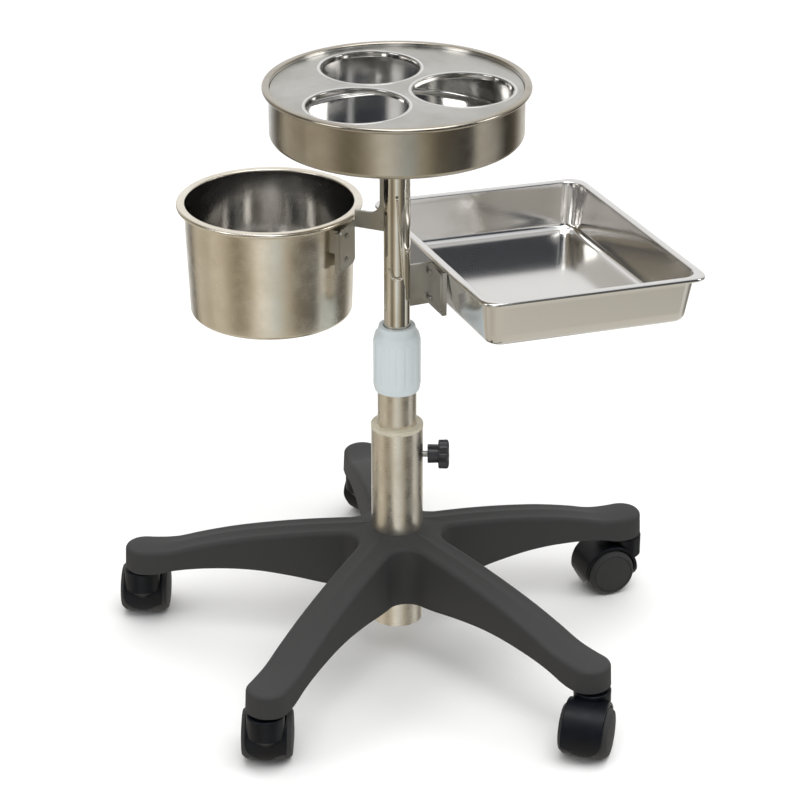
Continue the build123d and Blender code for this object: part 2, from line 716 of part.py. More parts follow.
def build_rivets(azimuth, fold, hook_r, places):
    """Rivets with domed heads on the column side of a hook plate."""
    with BuildPart() as rivets:
        add(rivet_shanks(azimuth, fold, hook_r, places))
        with BuildSketch(face_plane(azimuth, hook_r)):
            with Locations(*[(fold * across, height) for across, height in places]):
                Circle(RIVET_HEAD_R)
        extrude(amount=-1.5)
        heads = rivets.edges().filter_by(GeomType.CIRCLE).group_by(SortBy.RADIUS)[-1]
        crowns = heads.sort_by(lambda edge: edge.arc_center.X**2 + edge.arc_center.Y**2)[: len(places)]
        fillet(crowns, radius=1.1)
    return rivets.part


def build_channel(azimuth, fold, hook_r, places, low, top):
    """Channel riveted to a hook plate, open above, with lips that hold the hanger's tongue."""
    back = hook_r + HOOK_PLATE
    depth = 2 * CHANNEL_SHEET + CHANNEL_POCKET
    middle = fold * HOOK_WIDTH / 2
    with BuildPart() as channel:
        with BuildSketch(radial_plane(azimuth, 0, low)):
            with Locations((back + depth / 2, middle)):
                Rectangle(depth, HOOK_WIDTH + 2)
            with Locations((back + depth / 2, middle)):
                Rectangle(CHANNEL_POCKET, HOOK_WIDTH + 2 - 2 * CHANNEL_SHEET, mode=Mode.SUBTRACT)
            with Locations((back + depth, middle)):
                Rectangle(2.2 * CHANNEL_SHEET, HOOK_WIDTH - 10, mode=Mode.SUBTRACT)
        extrude(amount=top - low)
        add(rivet_shanks(azimuth, fold, hook_r, places), mode=Mode.SUBTRACT)
    return channel.part


def build_hanger(azimuth, fold, hook_r, channel_low, channel_top, envelope):
    """Hanger welded to a container's wall: a pad, a fold over the channel and a tongue inside it."""
    back = hook_r + HOOK_PLATE
    tongue_r = back + CHANNEL_SHEET + TONGUE_PLAY
    pad_r = back + 2 * CHANNEL_SHEET + CHANNEL_POCKET + GAP
    middle = fold * HOOK_WIDTH / 2
    top = channel_top + FIT + HANGER_FOLD
    with BuildPart() as hanger:
        with BuildSketch(radial_plane(azimuth, 0, channel_low + 4)):
            with Locations((tongue_r, middle)):
                Rectangle(CHANNEL_POCKET - 2 * TONGUE_PLAY, HOOK_WIDTH - 2, align=(Align.MIN, Align.CENTER))
        extrude(amount=top - channel_low - 4)
        with BuildSketch(radial_plane(azimuth, 0, channel_top + FIT)):
            with Locations((tongue_r, middle)):
                Rectangle(16, HOOK_WIDTH - 2, align=(Align.MIN, Align.CENTER))
        extrude(amount=HANGER_FOLD)
        with BuildSketch(radial_plane(azimuth, 0, channel_top - HANGER_PAD)):
            with Locations((pad_r, middle)):
                Rectangle(16, HOOK_WIDTH - 4, align=(Align.MIN, Align.CENTER))
        extrude(amount=HANGER_PAD + 1)
        add(envelope, mode=Mode.SUBTRACT)
    return hanger.part.solids().sort_by(SortBy.VOLUME)[-1]


# ---- casters, built with the stem's axis at the origin and the wheels towards +X ----

def build_caster_stem():
    """Stem: a shank in the arm's socket, a collar under the arm and the pin that the hood turns on."""
    with BuildPart() as stem:
        with BuildSketch(Plane.XZ):
            with BuildLine():
                Polyline(
                    (0, PIN_LOW),
                    (PIN_R, PIN_LOW),
                    (PIN_R, HOOD_TOP + GAP),
                    (COLLAR_R, HOOD_TOP + GAP),
                    (COLLAR_R, ARM_UNDERSIDE),
                    (STEM_R, ARM_UNDERSIDE),
                    (STEM_R, STEM_TOP),
                    (0, STEM_TOP),
                    close=True,
                )
            make_face()
        revolve(axis=Axis.Z)
    return stem.part


def build_caster_hood():
    """Hood: a cowl over both wheels, a round housing up to the arm, and a web between the wheels."""
    round_z = HOOD_TOP - HOUSING_ROUND
    round_r = HOUSING_R - HOUSING_ROUND
    with BuildPart() as hood:
        # cowl round the wheels, with rounded sides
        with BuildSketch(Plane.XZ):
            with Locations((TRAIL, WHEEL_R)):
                Circle(HOOD_OUTER_R)
            Rectangle(4 * CUT_REACH, 2 * HOOD_LOW, mode=Mode.SUBTRACT)
        extrude(amount=HOOD_HALF, both=True)
        cowl_edges = hood.faces().filter_by(GeomType.CYLINDER).edges().filter_by(GeomType.CIRCLE)
        fillet(cowl_edges, HOOD_EDGE_ROUND)
        # housing round the stem, narrowing to the cowl below
        with BuildSketch(Plane.XZ):
            with BuildLine():
                Polyline((0, HOUSING_LOW), (HOUSING_FOOT_R, HOUSING_LOW), (HOUSING_R, HOUSING_CONE_TOP))
                Line((HOUSING_R, HOUSING_CONE_TOP), (HOUSING_R, round_z))
                RadiusArc((HOUSING_R, round_z), (round_r, HOOD_TOP), -HOUSING_ROUND)
                Polyline((round_r, HOOD_TOP), (0, HOOD_TOP), (0, HOUSING_LOW))
            make_face()
        revolve(axis=Axis.Z)
        # shield-shaped lower edge, seen from the front and the back
        with BuildSketch(Plane.YZ.offset(-CUT_REACH)):
            with BuildLine():
                Polyline(SHIELD[-1], (-HOOD_HALF, STEM_TOP), (HOOD_HALF, STEM_TOP), SHIELD[0])
                Spline(*SHIELD, tangents=((0, -1), (0, 1)))
            make_face()
        extrude(amount=3 * CUT_REACH, mode=Mode.INTERSECT)
        # room for the wheels on both sides of the web
        for start in (-CUT_REACH, WEB_HALF):
            with BuildSketch(Plane.XZ.offset(start)):
                with Locations((TRAIL, WHEEL_R)):
                    Circle(HOOD_INNER_R)
            extrude(amount=CUT_REACH - WEB_HALF, mode=Mode.SUBTRACT)
        with BuildSketch(Plane.XY.offset(PIN_LOW - 1)):
            Circle(PIN_R + FIT)
        extrude(amount=CUT_REACH, mode=Mode.SUBTRACT)
        with BuildSketch(Plane.XZ):
            with Locations((TRAIL, WHEEL_R)):
                Circle(AXLE_R)
        extrude(amount=CUT_REACH, both=True, mode=Mode.SUBTRACT)
    return hood.part


def build_caster_axle():
    """Steel axle pressed through the hood's web."""
    with BuildPart() as axle:
        with BuildSketch(Plane.XZ.offset(-AXLE_HALF)):
            with Locations((TRAIL, WHEEL_R)):
                Circle(AXLE_R)
        extrude(amount=2 * AXLE_HALF)
    return axle.part


def build_caster_wheel():
    """Nylon wheel on the +Y side: domed outer face, rounded tread and a recessed inner face."""
    inner = CASTER_WIDTH / 2 - WHEEL_WIDTH
    face = CASTER_WIDTH / 2
    bore = AXLE_R + FIT
    with BuildPart() as wheel:
        with BuildSketch(Plane.XY):
            with BuildLine():
                Polyline((bore, inner), (7, inner), (7, inner + 8), (20.5, inner + 8), (20.5, inner + 0.6))
                Polyline((20.5, inner + 0.6), (WHEEL_R - 1, inner + 0.6), (WHEEL_R, inner + 1.6))
                Line((WHEEL_R, inner + 1.6), (WHEEL_R, face - 6))
                RadiusArc((WHEEL_R, face - 6), (WHEEL_R - 4, face - 2), -4)
                ThreePointArc((WHEEL_R - 4, face - 2), (14, face - 0.5), (5, face))
                Polyline((5, face), (0, face), (0, AXLE_HALF + 0.5), (bore, AXLE_HALF + 0.5), (bore, inner))
            make_face()
        revolve(axis=Axis.Y)
    return wheel.part.moved(Location((TRAIL, 0, WHEEL_R)))


def build_casters():
    """All five casters as a dictionary of node name to placed solid."""
    stem = build_caster_stem()
    hood = build_caster_hood()
    axle = build_caster_axle()
    wheel_left = build_caster_wheel()
    wheel_right = wheel_left.mirror(Plane.XZ)
    kit = {"stem": stem, "hood": hood, "axle": axle, "wheel_left": wheel_left, "wheel_right": wheel_right}
    placed = {}
    for name, azimuth, trail in zip(CASTER_NAMES, ARM_AZIMUTHS, CASTER_TRAILS):
        angle = radians(azimuth)
        spot = Location((STEM_RING_R * cos(angle), STEM_RING_R * sin(angle), 0), (0, 0, trail))
        for piece, shape in kit.items():
            placed[f"caster_{name}_{piece}"] = shape.moved(spot)
    return placed


def main():
    bin_solid = turn_bin(bin_section(True))
    tray_solid = tray_block(0, 0)
    bin_hook = (BIN_AZIMUTH, BIN_FOLD, BIN_HOOK_R)
    tray_hook = (TRAY_AZIMUTH, TRAY_FOLD_SIDE, TRAY_HOOK_R)
    bin_channel = (BIN_HOOK_LOW - CHANNEL_DROP, BIN_HOOK_TOP - CHANNEL_STEP)
    tray_channel = (TRAY_HOOK_LOW - CHANNEL_DROP, TRAY_HOOK_TOP)
    mid_guide_r = BASE_TUBE_R - TUBE_WALL - FIT
    pieces = {
        "star_base": build_star_base(),
        "base_tube": build_base_tube(),
        "tube_bush": build_tube_bush(),
        "clamp_nut": build_clamp_nut(),
        "thrust_pad": build_thrust_pad(),
        "clamp_screw": build_clamp_screw(),
        "clamp_knob": build_clamp_knob(),
        "mid_guide": build_guide(MID_TUBE_LOW - GUIDE_FLOOR, mid_guide_r, MID_TUBE_R + FIT),
        "middle_tube": tube(MID_TUBE_R, TUBE_WALL, MID_TUBE_LOW, MID_TUBE_TOP),
        "lock_collet": build_lock_collet(),
        "lock_sleeve": build_lock_sleeve(),
        "post_guide": build_guide(POST_LOW - GUIDE_FLOOR, MID_TUBE_R - TUBE_WALL - FIT, POST_R + FIT),
        "post_tube": build_post_tube(),
        "post_plug": build_post_plug(),
        "pan_washer": build_pan_washer(),
        "pan_bolt": build_pan_bolt(),
        "top_pan": build_top_pan(),
        "jar_lid": build_jar_lid(),
        "wire_hook": build_wire_hook(),
        "bin_arm": build_bin_arm(),
        "bin_channel": build_channel(*bin_hook, BIN_RIVETS, *bin_channel),
        "bin_arm_rivets": build_rivets(*bin_hook, BIN_RIVETS),
        "bin": turn_bin(bin_section(False)),
        "bin_hanger": build_hanger(*bin_hook, *bin_channel, bin_solid),
        "tray_arm": build_tray_arm(),
        "tray_channel": build_channel(*tray_hook, TRAY_RIVETS, *tray_channel),
        "tray_arm_rivets": build_rivets(*tray_hook, TRAY_RIVETS),
        "side_tray": build_side_tray(),
        "tray_hanger": build_hanger(*tray_hook, *tray_channel, tray_solid),
    }
    pieces.update(build_casters())
    os.makedirs("parts", exist_ok=True)
    for name, piece in pieces.items():
        piece.label = name
        export_step(piece, f"parts/{name}.step")


main()
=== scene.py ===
import json
from math import atan2, cos, pi, radians, sin, sqrt, tan

import bmesh
import bpy
import numpy as np
from bpy.props import FloatProperty, FloatVectorProperty, IntProperty, PointerProperty
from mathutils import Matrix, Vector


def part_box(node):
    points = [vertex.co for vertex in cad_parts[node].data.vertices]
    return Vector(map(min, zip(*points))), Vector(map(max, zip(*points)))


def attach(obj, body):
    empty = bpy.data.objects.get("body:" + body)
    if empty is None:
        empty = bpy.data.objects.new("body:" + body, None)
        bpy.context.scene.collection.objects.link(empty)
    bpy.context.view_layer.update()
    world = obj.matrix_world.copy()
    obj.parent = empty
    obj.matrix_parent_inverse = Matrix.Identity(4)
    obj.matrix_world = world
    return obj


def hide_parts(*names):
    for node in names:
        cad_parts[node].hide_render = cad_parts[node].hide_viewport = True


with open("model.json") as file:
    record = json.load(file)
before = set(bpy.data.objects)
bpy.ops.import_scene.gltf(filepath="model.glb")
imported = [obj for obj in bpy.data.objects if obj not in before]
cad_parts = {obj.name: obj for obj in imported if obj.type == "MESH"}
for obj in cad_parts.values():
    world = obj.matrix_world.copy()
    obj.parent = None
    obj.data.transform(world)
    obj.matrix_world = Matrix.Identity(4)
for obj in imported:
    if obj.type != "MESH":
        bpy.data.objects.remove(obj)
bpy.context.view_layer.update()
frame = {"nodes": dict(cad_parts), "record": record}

bl_info = {
    "name": "Clinic instrument cart",
    "version": (1, 0, 0),
    "blender": (4, 5, 0),
    "location": "View3D > Sidebar > Cart",
    "description": "Builds the outside of a five-wheeled instrument cart round its working frame",
    "category": "Add Mesh",
}

MM = 0.001
ARM_AZIMUTHS = (26.33, 98.33, 170.33, 242.33, 314.33)
# where each caster's wheels trail, in degrees from +X
CASTERS = {"right": 200.0, "back": 55.0, "left": 87.0, "front_left": 88.0, "front_right": 254.0}
SHARP_ANGLE = radians(32)
MERGE_DISTANCE = 0.004 * MM
SHORTEST_EDGE = 0.002 * MM
RIM_DEPTH = 2.2 * MM
INWARD_LEAN = 0.3


# ---- colours and nodes ----

def srgb(code):
    """Turn an sRGB hex colour into linear red, green and blue."""
    parts = np.array([int(code[i:i + 2], 16) for i in (1, 3, 5)]) / 255
    linear = np.where(parts <= 0.04045, parts / 12.92, ((parts + 0.055) / 1.055) ** 2.4)
    return tuple(float(value) for value in linear)


def add_node(tree, kind, settings=None, inputs=None):
    """Add one node, with its settings, and its inputs as plain values or as outputs to link from."""
    node = tree.nodes.new(kind)
    for key, value in (settings or {}).items():
        setattr(node, key, value)
    for key, value in (inputs or {}).items():
        if isinstance(value, bpy.types.NodeSocket):
            tree.links.new(value, node.inputs[key])
        else:
            node.inputs[key].default_value = value
    return node


def new_material(name, colour, roughness, metallic=0.0):
    """Start a material: its tree, its shader and the object coordinates that its patterns use."""
    material = bpy.data.materials.new(name)
    material.use_nodes = True
    tree = material.node_tree
    shader = tree.nodes["Principled BSDF"]
    shader.inputs["Base Color"].default_value = (*colour, 1.0)
    shader.inputs["Roughness"].default_value = roughness
    shader.inputs["Metallic"].default_value = metallic
    place = add_node(tree, "ShaderNodeTexCoord").outputs["Object"]
    return material, tree, shader, place


def pattern(tree, place, spacing, detail=3.0, stretch=(1, 1, 1)):
    """Noise whose lumps are about a spacing in metres across, stretched along an axis by its factor."""
    scaled = add_node(tree, "ShaderNodeMapping", inputs={
        "Vector": place, "Scale": [1 / (spacing * factor) for factor in stretch]})
    noise = add_node(tree, "ShaderNodeTexNoise", inputs={
        "Vector": scaled.outputs["Vector"], "Scale": 1.0, "Detail": detail, "Roughness": 0.55})
    return noise.outputs["Fac"]


def spread(tree, value, low, high, start=0.3, end=0.7):
    """Turn a pattern's middle range into a range of another value."""
    ranged = add_node(tree, "ShaderNodeMapRange", inputs={
        "Value": value, "From Min": start, "From Max": end, "To Min": low, "To Max": high})
    return ranged.outputs["Result"]


def tint(tree, value, first, second):
    """Mix two colours by a pattern."""
    mixed = add_node(tree, "ShaderNodeMix", {"data_type": "RGBA"}, {0: value})
    mixed.inputs[6].default_value = (*first, 1.0)
    mixed.inputs[7].default_value = (*second, 1.0)
    return mixed.outputs[2]


def bump(tree, shader, height, depth, strength=1.0):
    """Raise the surface by a pattern, to a depth in metres."""
    node = add_node(tree, "ShaderNodeBump", inputs={
        "Height": height, "Distance": depth, "Strength": strength})
    tree.links.new(node.outputs["Normal"], shader.inputs["Normal"])


# ---- materials ----

def black_nylon(settings):
    """Glass-filled nylon, moulded in a spark-eroded tool: a fine leather-like grain and a dull sheen."""
    material, tree, shader, place = new_material("black_nylon", settings.nylon_colour, 0.5)
    # the real grain is about 0.6 mm across and is drawn at 1.6 mm so that it can be seen
    cells = add_node(tree, "ShaderNodeTexVoronoi", {"feature": "SMOOTH_F1"}, {
        "Vector": place, "Scale": 1 / (1.6 * MM), "Smoothness": 0.6, "Randomness": 1.0})
    worn = pattern(tree, place, 45 * MM, 4)
    colour = tint(tree, spread(tree, worn, 0, 1), settings.nylon_colour, srgb("#0d0f14"))
    tree.links.new(colour, shader.inputs["Base Color"])
    tree.links.new(spread(tree, worn, 0.4, 0.56), shader.inputs["Roughness"])
    shader.inputs["Specular IOR Level"].default_value = 0.14
    bump(tree, shader, cells.outputs["Distance"], 0.25 * MM, 0.9)
    return material


def black_abs(settings):
    """ABS, injection moulded with a semi-gloss skin: soft highlights and faint flow marks."""
    material, tree, shader, place = new_material("black_abs", settings.nylon_colour, 0.34)
    flow = pattern(tree, place, 9 * MM, 3, (1, 1, 2.5))
    tree.links.new(spread(tree, flow, 0.28, 0.42), shader.inputs["Roughness"])
    shader.inputs["Specular IOR Level"].default_value = 0.22
    dust = spread(tree, pattern(tree, place, 22 * MM), 0, 1)
    tree.links.new(tint(tree, dust, srgb("#0a0c11"), srgb("#12151c")), shader.inputs["Base Color"])
    bump(tree, shader, flow, 0.08 * MM, 0.5)
    return material


def black_wheel(settings):
    """Nylon, injection moulded and rolled over floors: duller than the hood, greyed by fine scuffs."""
    material, tree, shader, place = new_material("black_wheel", srgb("#1a1b1e"), 0.48)
    shader.inputs["Specular IOR Level"].default_value = 0.2
    scuff = pattern(tree, place, 2.2 * MM, 5)
    dusty = tint(tree, spread(tree, scuff, 0, 1, 0.45, 0.75), srgb("#0c0d10"), srgb("#17181c"))
    tree.links.new(dusty, shader.inputs["Base Color"])
    tree.links.new(spread(tree, scuff, 0.36, 0.58), shader.inputs["Roughness"])
    bump(tree, shader, scuff, 0.05 * MM, 0.5)
    return material


def stainless(name, colour, patina, roughness, waviness, brushing, anisotropy, lines=(6, 6, 0.12)):
    """Stainless steel sheet or tube.

    Waviness is the depth of the pressed sheet's slow ripple, brushing the depth of the polishing lines,
    and lines the stretch of those lines along each axis. The patina is a faint warm stain.
    """
    material, tree, shader, place = new_material(name, colour, roughness, 1.0)
    stain = pattern(tree, place, 60 * MM, 4)
    tree.links.new(tint(tree, spread(tree, stain, 0, 1), colour, patina), shader.inputs["Base Color"])
    # polishing lines are about 0.1 mm apart and are drawn at 1.5 mm so that they can be seen
    scratch = pattern(tree, place, 1.5 * MM, 2, lines)
    smear = pattern(tree, place, 14 * MM, 3)
    mixed = add_node(tree, "ShaderNodeMath", {"operation": "MULTIPLY_ADD"}, {0: scratch, 1: 0.6, 2: smear})
    rough = spread(tree, mixed.outputs[0], roughness * 0.8, roughness * 1.35, 0.55, 1.05)
    tree.links.new(rough, shader.inputs["Roughness"])
    if anisotropy:
        shader.inputs["Anisotropic"].default_value = anisotropy
        round_z = add_node(tree, "ShaderNodeTangent", {"direction_type": "RADIAL", "axis": "Z"})
        tree.links.new(round_z.outputs["Tangent"], shader.inputs["Tangent"])
    ripple = pattern(tree, place, 55 * MM, 1)
    slow = add_node(tree, "ShaderNodeBump", inputs={"Height": ripple, "Distance": waviness})
    fine = add_node(tree, "ShaderNodeBump", inputs={
        "Height": scratch, "Distance": brushing, "Strength": 0.6, "Normal": slow.outputs["Normal"]})
    tree.links.new(fine.outputs["Normal"], shader.inputs["Normal"])
    return material


def moulded(name, colour, shade, roughness, coat=0.0):
    """Smooth moulded plastic, such as polypropylene or acetal: even colour, waxy sheen, faint sink marks.

    The coat is the glossier skin that a polished tool leaves.
    """
    material, tree, shader, place = new_material(name, colour, roughness)
    cloud = pattern(tree, place, 12 * MM, 3)
    tree.links.new(tint(tree, spread(tree, cloud, 0, 1), colour, shade), shader.inputs["Base Color"])
    tree.links.new(spread(tree, cloud, roughness * 0.85, roughness * 1.2), shader.inputs["Roughness"])
    shader.inputs["Subsurface Weight"].default_value = 0.08
    shader.inputs["Subsurface Scale"].default_value = 2 * MM
    shader.inputs["Coat Weight"].default_value = coat
    shader.inputs["Coat Roughness"].default_value = 0.06
    bump(tree, shader, pattern(tree, place, 3 * MM), 0.04 * MM, 0.5)
    return material


def all_materials(settings):
    """Every finish by name. Two of the steels are extra to the record's slots: spun and drawn."""
    steel, stain = settings.steel_colour, settings.patina_colour
    return {
        "black_nylon": black_nylon(settings),
        "black_abs": black_abs(settings),
        "black_wheel": black_wheel(settings),
        # drawn tube, belt polished round: broad upright bands of light
        "brushed_stainless": stainless("brushed_stainless", srgb("#f6f1e7"), srgb("#e6dfd1"),
                                       0.29, 0.03 * MM, 0.02 * MM, 0.5),
        # sheet pressed or spun, then buffed: a mirror with a slow ripple
        "polished_stainless": stainless("polished_stainless", steel, stain,
                                        0.08, 0.25 * MM, 0.0015 * MM, 0.0),
        # sheet spun to shape, with soft upright bands; its darker colour is painted shade, standing in for
        # the pan's darker reflections
        "spun_stainless_painted_shade": stainless("spun_stainless_painted_shade", srgb("#c2bdb3"), srgb("#aea698"),
                                    0.16, 0.2 * MM, 0.01 * MM, 0.6),
        # sheet deep drawn and belt polished: pale and warm, with blurred upright bands
        "drawn_stainless": stainless("drawn_stainless", srgb("#f4eee2"), srgb("#e3dac9"),
                                     0.22, 0.2 * MM, 0.01 * MM, 0.6),
        # sheet with a grained finish: an even pale grey
        "satin_stainless": stainless("satin_stainless", srgb("#c9c8c4"), srgb("#b4b2ab"),
                                     0.34, 0.04 * MM, 0.03 * MM, 0.0, (8, 0.15, 1)),
        "grey_plastic": moulded("grey_plastic", settings.sleeve_colour, srgb("#64777f"), 0.3, 0.7),
        "ivory_plastic": moulded("ivory_plastic", srgb("#d2ccb8"), srgb("#c6bfa9"), 0.42),
        # steel turned and zinc plated: a greyish, slightly cloudy bright finish
        "zinc_steel": stainless("zinc_steel", srgb("#b9bab8"), srgb("#a2a19a"),
                                0.3, 0.02 * MM, 0.03 * MM, 0.0, (1, 1, 1)),
    }


# ---- shapes ----

def rounded_path(corners, steps=6, closed=False):
    """Path through corners (x, y, radius), each corner a circular arc tangent to its two straight sides.

    The arc starts radius / tan(half the inner angle) before the corner, or as near as its sides allow.
    """
    points = np.array([corner[:2] for corner in corners], float)
    out = []
    count = len(points)
    for index, (point, corner) in enumerate(zip(points, corners)):
        ends = not closed and index in (0, count - 1)
        if ends or corner[2] <= 0:
            out.append(point[None])
            continue
        back = points[index - 1] - point
        ahead = points[(index + 1) % count] - point
        limit = 0.499 * min(np.linalg.norm(back), np.linalg.norm(ahead))
        back, ahead = back / np.linalg.norm(back), ahead / np.linalg.norm(ahead)
        inner = np.arccos(np.clip(back @ ahead, -1, 1))
        reach = min(corner[2] / np.tan(inner / 2), limit)
        radius = reach * np.tan(inner / 2)
        middle = point + (back + ahead) / np.linalg.norm(back + ahead) * radius / np.sin(inner / 2)
        first, last = point + back * reach - middle, point + ahead * reach - middle
        turn = np.arctan2(first[0] * last[1] - first[1] * last[0], first @ last)
        angle = np.arctan2(first[1], first[0]) + turn * np.linspace(0, 1, steps)
        out.append(middle + radius * np.stack([np.cos(angle), np.sin(angle)], 1))
    return np.vstack(out)


def divide(path, longest):
    """Add evenly spaced points on the long straight runs of a path."""
    runs = np.linalg.norm(np.diff(path, axis=0), axis=1)
    pieces = np.maximum(np.ceil(runs / longest).astype(int), 1)
    start = np.repeat(np.arange(len(runs)), pieces)
    share = np.concatenate([np.arange(n) / n for n in pieces])
    inner = path[start] + (path[start + 1] - path[start]) * share[:, None]
    return np.vstack([inner, path[-1:]])


def smooth_line(knots, at):
    """Smooth curve through knots (x, y): cubic between knots, with slopes taken across the neighbours."""
    x, y = np.array(knots, float).T
    slope = np.gradient(y, x)
    at = np.clip(at, x[0], x[-1])
    i = np.clip(np.searchsorted(x, at) - 1, 0, len(x) - 2)
    width = x[i + 1] - x[i]
    t = (at - x[i]) / width
    return ((2 * t**3 - 3 * t**2 + 1) * y[i] + (t**3 - 2 * t**2 + t) * width * slope[i]
            + (3 * t**2 - 2 * t**3) * y[i + 1] + (t**3 - t**2) * width * slope[i + 1])


def grid_faces(rows, columns, wrap_rows=False, wrap_columns=True, first=0):
    """Quads between neighbouring points of a grid, as an array of vertex numbers."""
    r = np.arange(rows if wrap_rows else rows - 1)[:, None]
    c = np.arange(columns if wrap_columns else columns - 1)[None]
    below, after = (r + 1) % rows, (c + 1) % columns
    quads = np.stack([r * columns + c, r * columns + after,
                      below * columns + after, below * columns + c], -1)
    return quads.reshape(-1, 4) + first


def build_piece(name, sheets, material, body, stands_for=(), lining=None):
    """Join point grids into one closed mesh, and put it on its body.

    Each sheet is (points of shape rows x columns x 3 in metres, quads). Points that meet are merged, so
    poles and seams close, and normals are turned outwards. A lining is a second material for the faces that
    look towards the piece's own upright axis, which is where a vessel is buffed brighter.
    """
    points = np.vstack([grid.reshape(-1, 3) for grid, quads in sheets])
    sizes = np.cumsum([0] + [grid.size // 3 for grid, quads in sheets])
    faces = np.vstack([quads + size for (grid, quads), size in zip(sheets, sizes)])
    mesh = bpy.data.meshes.new(name)
    mesh.from_pydata(points.tolist(), [], faces.tolist())
    work = bmesh.new()
    work.from_mesh(mesh)
    bmesh.ops.remove_doubles(work, verts=work.verts, dist=MERGE_DISTANCE)
    bmesh.ops.dissolve_degenerate(work, edges=work.edges, dist=SHORTEST_EDGE)
    bmesh.ops.recalc_face_normals(work, faces=work.faces)
    work.to_mesh(mesh)
    work.free()
    mesh.polygons.foreach_set("use_smooth", np.ones(len(mesh.polygons), bool))
    mesh.set_sharp_from_angle(angle=SHARP_ANGLE)
    mesh.materials.append(material)
    if lining:
        mesh.materials.append(lining)
        centres, normals = np.empty((2, len(mesh.polygons), 3))
        mesh.polygons.foreach_get("center", centres.reshape(-1))
        mesh.polygons.foreach_get("normal", normals.reshape(-1))
        corners = points.reshape(-1, 3)
        away = centres - (corners.min(0) + corners.max(0)) / 2
        outwards = (normals[:, :2] * away[:, :2]).sum(1)
        inward = outwards < INWARD_LEAN * normals[:, 2] * np.hypot(*away.T[:2])
        inward &= centres[:, 2] < corners[:, 2].max() - RIM_DEPTH
        mesh.polygons.foreach_set("material_index", inward.astype(np.int32))
    piece = bpy.data.objects.new(name, mesh)
    bpy.context.scene.collection.objects.link(piece)
    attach(piece, body)
    if stands_for:
        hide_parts(*stands_for)
    return piece


def turned(path, centre=(0, 0), segments=160, axis="Z", flutes=None):
    """Turn a path of (radius, height) about an upright axis, or about a level one along X or Y.

    A point is (radius cos a, radius sin a, height) for angle a. Flutes scale the radius by row and angle.
    """
    angle = np.linspace(0, 2 * pi, segments, endpoint=False)[None]
    radius = path[:, :1] * np.ones_like(angle)
    if flutes is not None:
        radius = radius * flutes(path[:, 1:2], angle)
    height = path[:, 1:2] * np.ones_like(angle)
    across, other = radius * np.cos(angle), radius * np.sin(angle)
    if axis == "Z":
        grid = np.stack([across + centre[0], other + centre[1], height], -1)
    elif axis == "X":
        grid = np.stack([height, across + centre[0], other + centre[1]], -1)
    else:
        grid = np.stack([across + centre[0], height, other + centre[1]], -1)
    return grid * MM, grid_faces(len(path), segments)


def spin_about(grid, azimuth, ring=0.0, trail=0.0):
    """Turn points by a trail angle about the upright axis, then move them out to a ring at an azimuth."""
    turn, place = radians(trail), radians(azimuth)
    x = grid[..., 0] * cos(turn) - grid[..., 1] * sin(turn) + ring * cos(place)
    y = grid[..., 0] * sin(turn) + grid[..., 1] * cos(turn) + ring * sin(place)
    return np.stack([x, y, grid[..., 2]], -1)


# ---- star base ----

# heights of an arm's top and lower edge, as (distance from the column, height)
CROWN = [(20, 133.5), (43, 130), (93, 123), (134, 115.8), (172, 107.5), (207, 97.5),
         (232, 89.5), (254, 86.5), (290, 86.5)]
BELLY = [(20, 65.5), (72, 69.5), (107, 74.5), (146, 77.5), (186, 75.5), (228, 68.5),
         (248, 62.5), (290, 62.5)]
ARM_TIP_R = 282.3
DRAFT = radians(2.3)
DRAFT_Z = 42.5
BORE_R = 25.55
RIB_RADII = (105, 150, 195, 235)
STEM_RING_R = 265.0
HUB_LOW, HUB_TOP = 65.5, 128
SOCKET_LOW, SOCKET_TOP = 62.6, 83
SOCKET_BORE_R, SOCKET_R = 5.55, 10


def star_outline(half, blend, end_x):
    """Plan outline of one fifth of the star in the arm's own axes, with its outward normals.

    It runs along a hollow round in the fork, down one side, round the end and back to the next fork. The
    third array is where each point heads for as the outline shrinks: the bore in the fork, else the spine.
    """
    fork = radians(36)
    out = (half + blend) / sin(fork)
    tangent_x = (half + blend) / tan(fork)
    share = np.linspace(0, 1, 13)
    angle = pi - fork + share * (fork - pi / 2)
    round_xy = np.stack([out * cos(fork) + blend * np.cos(angle),
                         -out * sin(fork) + blend * np.sin(angle)], 1)
    round_n = -np.stack([np.cos(angle), np.sin(angle)], 1)
    turn = -fork * (1 - share)
    round_to = BORE_R * np.stack([np.cos(turn), np.sin(turn)], 1)
    run = np.linspace(0, 1, 61)[1:-1]
    side_x = tangent_x + (end_x - tangent_x) * run
    side_xy = np.stack([side_x, np.full_like(side_x, -half)], 1)
    side_n = np.tile([0.0, -1.0], (len(run), 1))
    side_to = np.stack([BORE_R + (end_x - BORE_R) * run, np.zeros_like(run)], 1)
    cap = np.linspace(-pi / 2, 0, 13)
    cap_n = np.stack([np.cos(cap), np.sin(cap)], 1)
    cap_xy = cap_n * half + [end_x, 0]
    cap_to = np.tile([end_x, 0.0], (len(cap), 1))
    lower = [np.vstack(group) for group in
             ((round_xy, side_xy, cap_xy), (round_n, side_n, cap_n), (round_to, side_to, cap_to))]
    mirror = np.array([1, -1])
    return [np.vstack([part, part[-2:0:-1] * mirror]) for part in lower], len(share)


